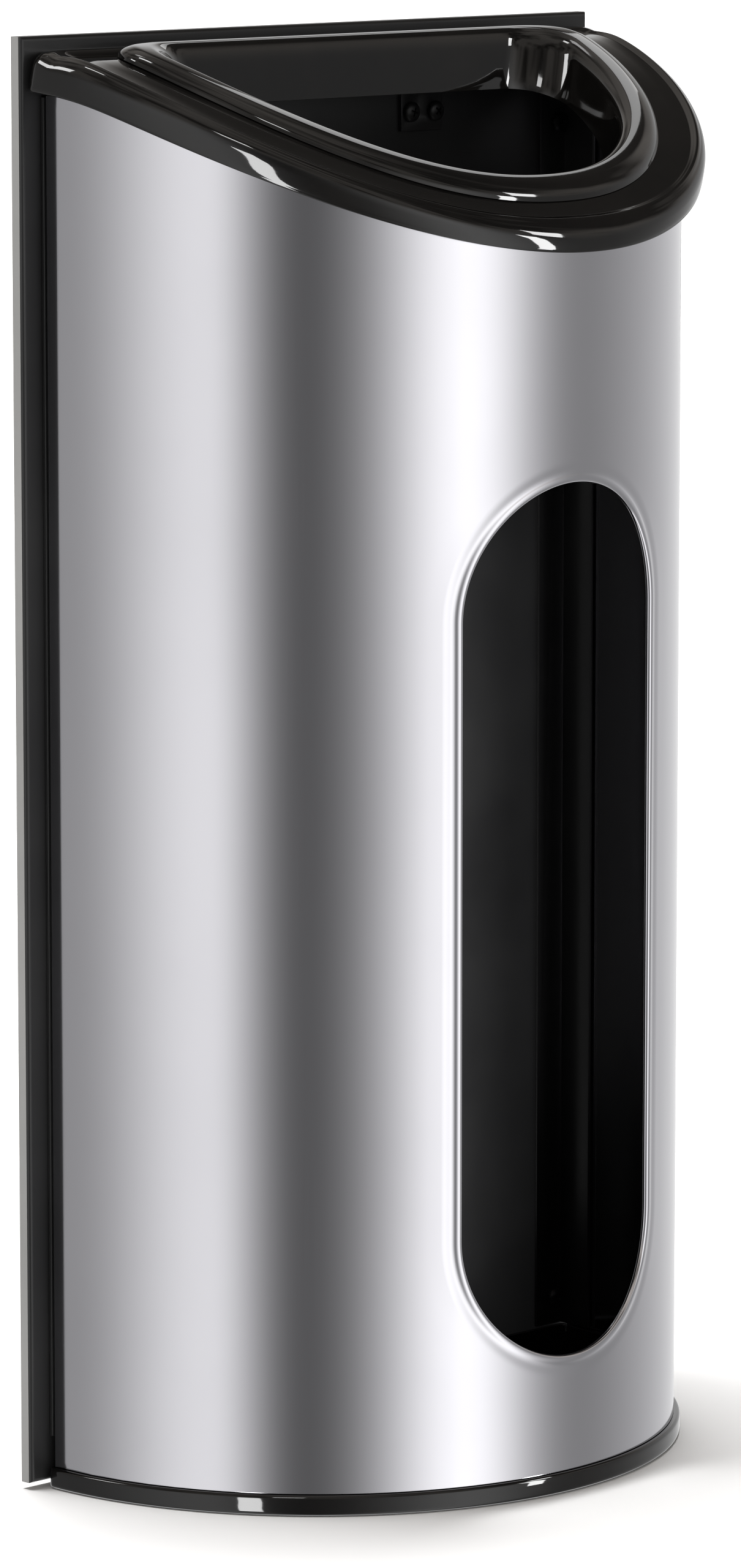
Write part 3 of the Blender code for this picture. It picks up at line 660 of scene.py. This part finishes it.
def build_edge_trim():
    """Rubber channel on the shell's upper edge, with rounded corners and slightly flared legs."""
    gap, lip, leg = 0.0003, 0.0008, 0.0030
    end = math.asin(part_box("edge_trim")[1].x / (RADIUS + gap + lip))
    inner = RADIUS - WALL
    section = [
        (RADIUS + gap, -leg), (RADIUS + gap + lip * 0.8, -leg), (RADIUS + gap + lip, -leg + 0.0004),
        (RADIUS + gap + lip, lip), (RADIUS + gap + lip * 0.6, lip * 1.7), (RADIUS + gap, lip * 2),
        (inner - gap, lip * 2), (inner - gap - lip * 0.6, lip * 1.7), (inner - gap - lip, lip),
        (inner - gap - lip, -leg + 0.0004), (inner - gap - lip * 0.8, -leg), (inner - gap, -leg),
        (inner - gap, gap), (RADIUS + gap, gap),
    ]
    loops = []
    for step in range(161):
        angle = end * (step / 80 - 1)
        edge = shell_top(CENTRE_Y - RADIUS * math.cos(angle))
        loops.append([(r * math.sin(angle), CENTRE_Y - r * math.cos(angle), BASE_Z + edge + rise)
                      for r, rise in section])
    stands_for(as_object("edge_channel", grid_mesh("edge_channel", loops, closed=False), RUBBER), "edge_trim")


# ---------------------------------------------------------------- base tray
def build_tray():
    """Glossy moulded tray: rim, ledge, upstand and dished floor with drain holes."""
    sections = [  # radius, set-back of its rear, rear corner radius, height
        (0.1514, 0.0010, 0.0030, 0.0),
        (0.1523, 0.0002, 0.0032, 0.0006),
        (0.1526, 0.0, 0.0035, 0.0016),
        (0.1526, 0.0, 0.0035, 0.0068),
        (0.1522, 0.0002, 0.0032, 0.0078),
        (0.1514, 0.0006, 0.0030, 0.0082),
        (0.1483, 0.0008, 0.0028, 0.0082),
        (0.1483, 0.0008, 0.0028, 0.0205),
        (0.1463, 0.0030, 0.0026, 0.0205),
        (0.1450, 0.0035, 0.0030, 0.0060),
        (0.1410, 0.0070, 0.0060, 0.0040),
    ]
    loops = [[(x, y, BASE_Z + height) for x, y in d_outline(radius, radius, 2.0, BACK_Y - set_back, corner)]
             for radius, set_back, corner, height in smooth_sections(sections, 4)]
    tray = as_object("tray_moulding", grid_mesh("tray_moulding", loops, closed=False), GLOSS)
    drain_places = ((0.0, -0.110), (-0.070, -0.060), (0.070, -0.060))
    drains = [rod("drain", (x, y, BASE_Z), (0, 0, 1), 0.004, 0.02) for x, y in drain_places]
    screws = []
    for word in ("left", "right"):
        low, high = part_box(f"base_screw_{word}")
        centre = ((low.x + high.x) / 2, BACK_Y, (low.z + high.z) / 2)
        screws.append(rod("screw_hole", centre, (0, 1, 0), 0.0024, 0.012))
    stands_for(cut(tray, *drains, *screws), "base_tray")


# ---------------------------------------------------------------- cover and collar
def build_cover():
    """Overhanging moulding with a rounded shoulder, a groove round the collar and a hinge rail."""
    sections = [  # half width, depth, power, set-back, rear corner, rear rise, share of the height, rise
        (0.1517, 0.1517, 2.00, 0.0008, 0.0020, 0.0, 0.00, 0.0006),
        (0.1574, 0.1574, 2.00, 0.0008, 0.0030, 0.0, 0.00, 0.0),
        (0.1585, 0.1585, 2.00, 0.0001, 0.0035, 0.0, 0.00, 0.0006),
        (0.1588, 0.1588, 2.00, 0.0000, 0.0040, 0.0, 0.00, 0.0018),
        (0.1587, 0.1588, 2.02, 0.0000, 0.0050, 0.0, 0.35, 0.0),
        (0.1580, 0.1583, 2.06, 0.0000, 0.0060, 0.0020, 0.65, 0.0),
        (0.1565, 0.1571, 2.10, 0.0005, 0.0070, 0.0020, 0.86, 0.0),
        (0.1540, 0.1549, 2.15, 0.0018, 0.0080, 0.0018, 0.98, 0.0),
        (0.1515, 0.1524, 2.20, 0.0038, 0.0090, 0.0013, 1.00, 0.0006),
        (0.1498, 0.1507, 2.20, 0.0072, 0.0100, 0.0006, 1.00, 0.0),
        (0.1480, 0.1491, 2.20, 0.0084, 0.0110, 0.0, 1.00, -0.0006),
        (0.1185, 0.1310, 2.20, 0.0145, 0.0160, 0.0, 1.00, -0.0006),
        (0.1185, 0.1310, 2.20, 0.0145, 0.0160, 0.0, 1.00, -0.0032),
        (0.1490, 0.1498, 2.20, 0.0110, 0.0120, 0.0, 1.00, -0.0034),
        (0.1535, 0.1540, 2.10, 0.0105, 0.0100, 0.0, 0.80, 0.0),
        (0.1555, 0.1558, 2.02, 0.0100, 0.0090, 0.0, 0.45, 0.0),
        (0.1555, 0.1555, 2.00, 0.0095, 0.0060, 0.0, 0.00, 0.0030),
        (0.1517, 0.1517, 2.00, 0.0090, 0.0060, 0.0, 0.00, 0.0026),
    ]
    loops = []
    for half_width, depth, power, set_back, corner, rear_rise, share, rise in smooth_sections(sections, 5):
        outline = d_outline(half_width, depth, power, BACK_Y - set_back, corner)
        loops.append([(x, y, BASE_Z + cover_height(y, share, rise, rear_rise)) for x, y in outline])
    cover = as_object("cover_moulding", grid_mesh("cover_moulding", loops, closed=True), GLOSS)
    cutters = []
    low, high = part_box("hinge_bracket_right")
    half = (high.x - low.x) / 2 + 0.001
    for side in (-1, 1):
        x = side * HINGE_X
        notch_low = (x - half, HINGE_Y - 0.0064, HINGE_Z - 0.0215)
        notch_high = (x + half, 0.002, HINGE_Z + 0.0185)
        cutters.append(block("notch", notch_low, notch_high))
        cutters.append(rod("pin_hole", (x, HINGE_Y, HINGE_Z), (1, 0, 0), PIN_RADIUS + 0.0003, 0.048))
    stands_for(cut(cover, *cutters), "top_cover")


def build_collar():
    """Raised rim round the opening, running down inside into a short throat."""
    sections = [  # half width, depth, rear, rear corner radius, rise above the cover
        (0.1306, 0.1417, -0.0154, 0.020, -0.0002),
        (0.1300, 0.1412, -0.0157, 0.020, 0.0016),
        (0.1278, 0.1393, -0.0168, 0.020, 0.0034),
        (0.1235, 0.1360, -0.0190, 0.019, 0.0044),
        (0.1190, 0.1330, -0.0220, 0.018, 0.0042),
        (0.1155, 0.1302, -0.0246, 0.018, 0.0026),
        (0.1132, 0.1280, -0.0264, 0.018, -0.0006),
        (0.1118, 0.1265, -0.0276, 0.018, -0.0050),
        (0.1075, 0.1215, -0.0300, 0.018, -0.0200),
        (0.1097, 0.1237, -0.0280, 0.018, -0.0204),
        (0.1138, 0.1286, -0.0256, 0.018, -0.0055),
        (0.1155, 0.1300, -0.0245, 0.018, -0.0002),
    ]
    loops = []
    for half_width, depth, rear, corner, rise in smooth_sections(sections, 6):
        outline = d_outline(half_width, depth, 2.2, rear, corner)
        loops.append([(x, y, BASE_Z + cover_height(y, 1.0, rise, 0.0)) for x, y in outline])
    collar = as_object("collar_moulding", grid_mesh("collar_moulding", loops, closed=True), GLOSS)
    stands_for(collar, "throat_collar")


# ---------------------------------------------------------------- plate, bars and brackets
PLATE_SCREWS = ("left_angle_screw", "right_angle_screw", "hinge_screw", "hook_screw", "base_screw")


def screw_nodes(*words):
    return sorted(node for node in frame["nodes"] if node.startswith(words))


def build_plate():
    """Folded plate with rounded front bends. Its side flanges carry a light grey painted sheen, the rest is
    black.
    """
    depth, sheet = PLATE_HIGH.y - PLATE_LOW.y, 0.0012
    plate = block("folded_plate", PLATE_LOW, PLATE_HIGH)
    weights = plate.data.attributes.new("bevel_weight_edge", "FLOAT", "EDGE")
    for edge in plate.data.edges:
        ends = [plate.data.vertices[index].co for index in edge.vertices]
        weights.data[edge.index].value = float(all(end.y < -depth / 2 for end in ends))
    bend = plate.modifiers.new("bends", "BEVEL")
    bend.width = 0.002
    bend.segments = 8
    bend.limit_method = "WEIGHT"
    evaluated(plate)
    hollow = block("hollow", (PLATE_LOW.x + sheet, PLATE_LOW.y + sheet, PLATE_LOW.z + sheet),
                   (PLATE_HIGH.x - sheet, 0.010, PLATE_HIGH.z - sheet))
    holes = []
    for node in screw_nodes("wall_screw", *PLATE_SCREWS):
        low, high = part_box(node)
        centre = ((low.x + high.x) / 2, PLATE_LOW.y, (low.z + high.z) / 2)
        radius = 0.0035 if node.startswith("wall_screw") else 0.0024
        holes.append(rod("hole", centre, (0, 1, 0), radius, 0.008))
    cut(plate, hollow, *holes)
    plate.data.materials.clear()
    for finish in (PAINT, EDGE):
        plate.data.materials.append(finish)
    # The flanges' outer side faces take the light grey copy of the paint: painted sheen.
    for face in plate.data.polygons:
        outer = abs(abs(face.center.x) - PLATE_HIGH.x) < 0.0001
        face.material_index = int(outer and abs(face.normal.x) > 0.99)
    stands_for(plate, "wall_plate")


# ---------------------------------------------------------------- fasteners
def recess(radius, depth, at):
    """A cross for a screwdriver, tapering to its foot, as one cutter."""
    pieces = []
    for turn in (0.0, math.pi / 2):
        form = bmesh.new()
        bmesh.ops.create_cube(form, size=1.0)
        bmesh.ops.scale(form, vec=(2 * radius, radius * 0.42, depth), verts=form.verts)
        for vert in form.verts:
            if vert.co.z < 0:
                vert.co.x *= 0.45
                vert.co.y *= 0.75
        bmesh.ops.rotate(form, matrix=Matrix.Rotation(turn, 3, "Z"), verts=form.verts)
        bmesh.ops.translate(form, vec=(0, 0, at - depth / 2 + 0.0002), verts=form.verts)
        mesh = bpy.data.meshes.new("recess")
        form.to_mesh(mesh)
        form.free()
        pieces.append(as_object("recess", mesh))
    return pieces


def pan_head(name, finish, head_radius, head, shank_radius, shank):
    """Screw with a domed head and a cross recess; its seat is at z = 0 and the shank runs down."""
    dome = [(0.0, head)]
    for step in range(1, 13):
        angle = math.radians(90) * step / 12
        dome.append((head_radius * math.sin(angle), head * (0.28 + 0.72 * math.cos(angle) ** 0.8)))
    dome += [(head_radius * 0.985, 0.0), (shank_radius, 0.0)]
    threads = 9
    pitch = (shank * 0.86) / threads
    for step in range(threads):
        z = -pitch * (step + 0.5)
        dome += [(shank_radius, z), (shank_radius * 0.86, z - pitch * 0.5)]
    dome += [(shank_radius * 0.5, -shank * 0.96), (0.0, -shank)]
    body = as_object(name, lathe(name, dome, 40), finish)
    cut(body, *recess(head_radius * 0.52, head * 0.75, head))
    mesh = body.data
    bpy.data.objects.remove(body, do_unlink=True)
    return mesh


def place_screw(mesh, node, seat, direction, turn):
    """Puts a fastener on its seat, head towards the direction, turned about its own axis."""
    piece = as_object(node + "_piece", mesh)
    facing = Vector(direction).to_track_quat("Z", "Y").to_matrix().to_4x4()
    piece.matrix_world = Matrix.Translation(seat) @ facing @ Matrix.Rotation(turn, 4, "Z")
    return stands_for(piece, node)


def build_plate_screws():
    head = 0.0027
    mesh = pan_head("pan_head_screw", BLACK_ZINC, 0.0042, head, 0.002, 0.0056)
    for index, node in enumerate(screw_nodes(*PLATE_SCREWS)):
        low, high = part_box(node)
        seat = Vector(((low.x + high.x) / 2, low.y + head, (low.z + high.z) / 2))
        place_screw(mesh, node, seat, (0, -1, 0), 1.1 * index)


def build_collar_screws():
    mesh = pan_head("small_screw", BLACK_ZINC, 0.0030, 0.0020, 0.0014, 0.0054)
    half_width, depth, power, underside = 0.1250, 0.1370, 2.2, 0.0038
    for index, degrees in enumerate((-80, -48, -16, 16, 48, 80)):
        angle = math.radians(degrees)
        x = half_width * signed_power(math.sin(angle), 2 / power)
        y = CENTRE_Y - depth * math.cos(angle) ** (2 / power)
        normal = top_normal(y)
        seat = Vector((x, y, BASE_Z + top_height(y))) - normal * underside
        place_screw(mesh, f"collar_screw_{index + 1}", seat, -normal, 0.9 * index)


def build_wall_screws():
    """Hexagon heads with a washer face and chamfered corners, on turned washers."""
    washer = lathe("washer", [
        (0.0034, 0.0013), (0.0036, 0.0015), (0.0084, 0.0015), (0.0088, 0.0013), (0.0090, 0.0009),
        (0.0090, 0.0002), (0.0088, 0.0), (0.0036, 0.0), (0.0034, 0.0002),
    ], 64)
    washer.materials.append(ZINC)
    head, across = 0.004, 0.0058
    for index in range(1, 5):
        low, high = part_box(f"wall_washer_{index}")
        centre = Vector(((low.x + high.x) / 2, high.y, (low.z + high.z) / 2))
        place_screw(washer, f"wall_washer_{index}", centre, (0, -1, 0), 0.0)
        low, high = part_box(f"wall_screw_{index}")
        seat = Vector((centre.x, low.y + head, centre.z))
        shank = high.y - seat.y
        prism = lathe("hexagon", [(0.0, head), (across, head), (across, 0.0), (0.0, 0.0)], 6)
        hexagon = as_object("hexagon", prism, ZINC)
        chamfer = as_object("chamfer", lathe("chamfer", [
            (0.0, head + 0.0001), (across * 0.80, head + 0.0001), (across * 1.02, head - 0.0011),
            (across * 1.02, 0.0006), (across * 0.90, 0.0), (0.003, -0.0001), (0.003, -shank + 0.0004),
            (0.0026, -shank), (0.0, -shank),
        ], 64))
        foot = as_object("foot", lathe("foot", [
            (0.0, 0.0002), (0.003, 0.0002), (0.003, -shank + 0.0004), (0.0026, -shank), (0.0, -shank),
        ], 48))
        cut(hexagon, chamfer, operation="INTERSECT")
        cut(hexagon, foot, operation="UNION")
        mesh = hexagon.data
        bpy.data.objects.remove(hexagon, do_unlink=True)
        place_screw(mesh, f"wall_screw_{index}", seat, (0, -1, 0), 0.35 * index)


def build_hinge_pins():
    for word in ("left", "right"):
        low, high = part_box(f"hinge_pin_{word}")
        half = (high.x - low.x) / 2
        chamfer = 0.0004
        mesh = lathe(f"hinge_pin_{word}_piece", [
            (0.0, half), (PIN_RADIUS - chamfer, half), (PIN_RADIUS, half - chamfer),
            (PIN_RADIUS, chamfer - half), (PIN_RADIUS - chamfer, -half), (0.0, -half),
        ], 48)
        pin = as_object(f"hinge_pin_{word}_piece", mesh, ZINC)
        centre = Vector(((low.x + high.x) / 2, HINGE_Y, HINGE_Z))
        pin.matrix_world = Matrix.Translation(centre) @ Matrix.Rotation(math.pi / 2, 4, "Y")
        stands_for(pin, f"hinge_pin_{word}")


def build_bag_ring():
    """Round wire bent to a D."""
    low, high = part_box("bag_ring")
    wire = (high.z - low.z) / 2
    reach = high.x - wire
    outline = d_outline(reach, reach, 2.0, high.y - wire, 0.030, 200, 40, 60)
    count = len(outline)
    loops = []
    for index, (x, y) in enumerate(outline):
        before = Vector(outline[index - 1])
        after = Vector(outline[(index + 1) % count])
        along = (after - before).normalized()
        side = Vector((along.y, -along.x, 0.0))
        centre = Vector((x, y, (low.z + high.z) / 2))
        loops.append([centre + wire * (side * math.cos(a) + Vector((0, 0, math.sin(a))))
                      for a in (2 * math.pi * step / 20 for step in range(20))])
    stands_for(as_object("bag_wire", grid_mesh("bag_wire", loops, closed=True), NICKEL), "bag_ring")


def build_sheet_parts():
    for node in ("lower_wall_bar", "upper_wall_bar"):
        refined(node, 0.0005)
    for node in ("left_shell_angle", "right_shell_angle"):
        refined(node, 0.0003)
    for place in ("rear", "front"):
        for word in ("left", "right"):
            refined(f"{place}_ring_hook_{word}", 0.0003)
    for word in ("left", "right"):
        refined(f"hinge_bracket_{word}", 0.0003)


# ---------------------------------------------------------------- studio
def build_floor():
    form = bmesh.new()
    bmesh.ops.create_grid(form, x_segments=8, y_segments=8, size=40.0)
    mesh = bpy.data.meshes.new("studio_floor")
    form.to_mesh(mesh)
    form.free()
    s = Shader("pale_floor")
    s.set(Specular_IOR_Level=0.0)
    s.surface.inputs["Roughness"].default_value = 0.9
    s.colour(s.mix(s.noise(3.0), (0.88, 0.88, 0.88), (0.90, 0.90, 0.90)))
    floor = as_object("studio_floor", mesh, s.material)
    floor.location.z = BASE_Z - 0.0004
    floor.visible_glossy = False
    floor.visible_shadow = False
    return floor


class Dome:
    """The world's node tree, with short calls for its sums and fades."""

    def __init__(self, world):
        world.use_nodes = True
        self.tree = world.node_tree
        self.tree.nodes.clear()
        self.direction = self.tree.nodes.new("ShaderNodeTexCoord").outputs["Generated"]
        parts = self.tree.nodes.new("ShaderNodeSeparateXYZ")
        self.tree.links.new(self.direction, parts.inputs["Vector"])
        x, y, z = parts.outputs
        self.front = self.degrees(self.math("ARCTAN2", x, self.math("MULTIPLY", y, -1.0)))
        self.rear = self.degrees(self.math("ARCTAN2", self.math("MULTIPLY", x, -1.0), y))
        self.elevation = self.degrees(self.math("ARCSINE", z))

    def math(self, operation, *values):
        node = self.tree.nodes.new("ShaderNodeMath")
        node.operation = operation
        for value, socket in zip(values, node.inputs):
            if isinstance(value, (int, float)):
                socket.default_value = value
            else:
                self.tree.links.new(value, socket)
        return node.outputs["Value"]

    def degrees(self, radians):
        return self.math("MULTIPLY", radians, 180 / math.pi)

    def soft_box(self, azimuth, centre, left, right, brightness):
        """A light that fades to both sides of its centre, by two widths in degrees."""
        off = self.math("SUBTRACT", azimuth, centre)
        width = self.math("MULTIPLY_ADD", self.math("GREATER_THAN", off, 0.0), right - left, left)
        share = self.math("DIVIDE", off, width)
        square = self.math("MULTIPLY", share, share)
        fade = self.math("EXPONENT", self.math("MULTIPLY", square, -1.0))
        return self.math("MULTIPLY", fade, brightness)

    def mapped(self, source, low, high, bottom=0.0, top=1.0, smooth=False):
        node = self.tree.nodes.new("ShaderNodeMapRange")
        if smooth:
            node.interpolation_type = "SMOOTHSTEP"
        node.inputs["From Min"].default_value = low
        node.inputs["From Max"].default_value = high
        node.inputs["To Min"].default_value = bottom
        node.inputs["To Max"].default_value = top
        self.tree.links.new(source, node.inputs["Value"])
        return node.outputs["Result"]

    def blotches(self, scale):
        node = self.tree.nodes.new("ShaderNodeTexNoise")
        node.inputs["Scale"].default_value = scale
        node.inputs["Detail"].default_value = 2.0
        self.tree.links.new(self.direction, node.inputs["Vector"])
        return node.outputs["Fac"]

    def background(self):
        return self.tree.nodes.new("ShaderNodeBackground")


def build_world():
    """A studio dome: three soft boxes round the object under a dim, uneven ceiling, white to the camera."""
    world = bpy.data.worlds.new("studio")
    bpy.context.scene.world = world
    dome = Dome(world)
    front_boxes = dome.math(
        "ADD",
        dome.soft_box(dome.front, -78.5, 36.0, 16.0, 1.00),
        dome.soft_box(dome.front, 3.7, 27.0, 23.5, 1.43),
    )
    boxes = dome.math("ADD", front_boxes, dome.soft_box(dome.rear, -24.0, 88.0, 60.0, 0.89))
    around = dome.math("ADD", boxes, 0.07)
    uneven = dome.mapped(dome.blotches(2.2), 0.42, 0.58, 0.07, 0.50)
    zenith = dome.mapped(dome.elevation, 60.0, 85.0, smooth=True)
    ceiling = dome.math("MULTIPLY_ADD", zenith, 0.15, uneven)
    height = dome.mapped(dome.elevation, 12.0, 34.0, smooth=True)
    kept = dome.math("MULTIPLY", around, dome.math("SUBTRACT", 1.0, height))
    light = dome.math("ADD", kept, dome.math("MULTIPLY", ceiling, height))

    tint = dome.tree.nodes.new("ShaderNodeCombineColor")
    for socket, warmth in zip(tint.inputs, (0.0, 0.07, 0.14)):
        share = dome.math("MULTIPLY_ADD", height, -warmth, 1.0)
        dome.tree.links.new(dome.math("MULTIPLY", light, share), socket)
    studio = dome.background()
    dome.tree.links.new(tint.outputs["Color"], studio.inputs["Color"])
    plain = dome.background()
    plain.inputs["Color"].default_value = (1.0, 1.0, 1.0, 1.0)
    seen = dome.tree.nodes.new("ShaderNodeLightPath").outputs["Is Camera Ray"]
    mixed = dome.tree.nodes.new("ShaderNodeMixShader")
    dome.tree.links.new(seen, mixed.inputs["Fac"])
    dome.tree.links.new(studio.outputs["Background"], mixed.inputs[1])
    dome.tree.links.new(plain.outputs["Background"], mixed.inputs[2])
    out = dome.tree.nodes.new("ShaderNodeOutputWorld")
    dome.tree.links.new(mixed.outputs["Shader"], out.inputs["Surface"])


def lamp_object(name, kind, receivers):
    data = bpy.data.lights.new(name, kind)
    lamp = bpy.data.objects.new(name, data)
    bpy.context.scene.collection.objects.link(lamp)
    lamp.rotation_mode = "QUATERNION"
    lamp.light_linking.receiver_collection = receivers
    lamp.visible_camera = False
    return lamp


def strip_lamp(name, receivers, azimuth, elevation, wide, tall, radiance, lean=0.0):
    """A distant strip that spans the given angles, in degrees, as the bin sees it."""
    distance = 3.0
    lamp = lamp_object(name, "AREA", receivers)
    a, e = math.radians(azimuth), math.radians(elevation)
    back = Vector((math.sin(a) * math.cos(e), -math.cos(a) * math.cos(e), math.sin(e)))
    lamp.location = Vector((0.0, CENTRE_Y - RADIUS / 2, BASE_Z + 0.3)) + back * distance
    lamp.rotation_quaternion = back.to_track_quat("Z", "Y") @ Quaternion((0, 0, 1), math.radians(lean))
    lamp.data.shape = "RECTANGLE"
    lamp.data.size = 2 * distance * math.tan(math.radians(wide / 2))
    lamp.data.size_y = 2 * distance * math.tan(math.radians(tall / 2))
    lamp.data.energy = radiance * math.pi * lamp.data.size * lamp.data.size_y
    return lamp


def build_lamps(floor):
    """Strips for the highlights on the gloss mouldings, a glow on the plate, and three suns for the floor."""
    pieces = bpy.data.objects
    collar = group("collar_only", [pieces["collar_moulding"]])
    mouldings = ("cover_moulding", "collar_moulding", "tray_moulding")
    gloss = group("gloss_mouldings", [pieces[name] for name in mouldings])
    strip_lamp("right_strip", gloss, 27.0, 2.0, 6.0, 40.0, 20.0)
    strip_lamp("right_strip_top", gloss, 41.0, 34.0, 7.0, 14.0, 16.0, -30.0)
    strip_lamp("left_strip", gloss, -66.0, -12.0, 7.0, 34.0, 15.0)
    strip_lamp("left_strip_top", gloss, -56.0, 39.0, 9.0, 7.0, 12.0)
    strip_lamp("side_window", gloss, -128.0, 35.0, 11.0, 9.0, 13.0)
    strip_lamp("rear_ceiling", gloss, -168.0, 72.0, 8.0, 7.0, 11.0)
    strip_lamp("right_window", collar, 121.0, 38.0, 10.0, 18.0, 1.7)
    strip_lamp("right_ceiling", collar, 158.0, 62.0, 8.0, 6.0, 3.5)
    plate = group("plate_only", [pieces["folded_plate"]])
    inner = lamp_object("inner_glow", "AREA", plate)
    inner.light_linking.blocker_collection = plate
    inner.location = (0.066, -0.055, BASE_Z + 0.235)
    inner.rotation_quaternion = Vector((0.0, -1.0, 0.0)).to_track_quat("Z", "Y")
    inner.data.shape = "RECTANGLE"
    inner.data.size = 0.02
    inner.data.size_y = 0.40
    inner.data.energy = 0.35
    lit_floor = group("lit_floor", [floor])
    for word, lean, energy in (("left", -0.16, 1.0), ("rear", 0.0, 1.9), ("right", 0.16, 1.0)):
        sun = lamp_object(f"floor_light_{word}", "SUN", lit_floor)
        sun.rotation_quaternion = Vector((lean, 0.12, 1.0)).to_track_quat("Z", "Y")
        sun.data.angle = math.radians(16.0)
        sun.data.energy = energy


def group(name, objects):
    made = bpy.data.collections.new(name)
    for obj in objects:
        made.objects.link(obj)
    return made


def build_camera():
    azimuth, elevation, distance = math.radians(-43.983), math.radians(8.771), 2.9874
    target = Vector((0.0301, CENTRE_Y, BASE_Z + 0.2717))
    back = Vector((
        math.sin(azimuth) * math.cos(elevation),
        -math.cos(azimuth) * math.cos(elevation),
        math.sin(elevation),
    ))
    data = bpy.data.cameras.new("camera")
    data.lens = 162.9
    data.clip_start = 0.05
    data.clip_end = 120.0
    camera = bpy.data.objects.new("camera", data)
    bpy.context.scene.collection.objects.link(camera)
    camera.location = target + back * distance
    camera.rotation_mode = "QUATERNION"
    camera.rotation_quaternion = back.to_track_quat("Z", "Y")
    bpy.context.scene.camera = camera


build_camera()
build_shell()
build_edge_trim()
build_tray()
build_cover()
build_collar()
build_plate()
build_sheet_parts()
build_plate_screws()
build_collar_screws()
build_wall_screws()
build_hinge_pins()
build_bag_ring()

floor = build_floor()
build_world()
build_lamps(floor)
bpy.context.scene.view_settings.view_transform = "Standard"
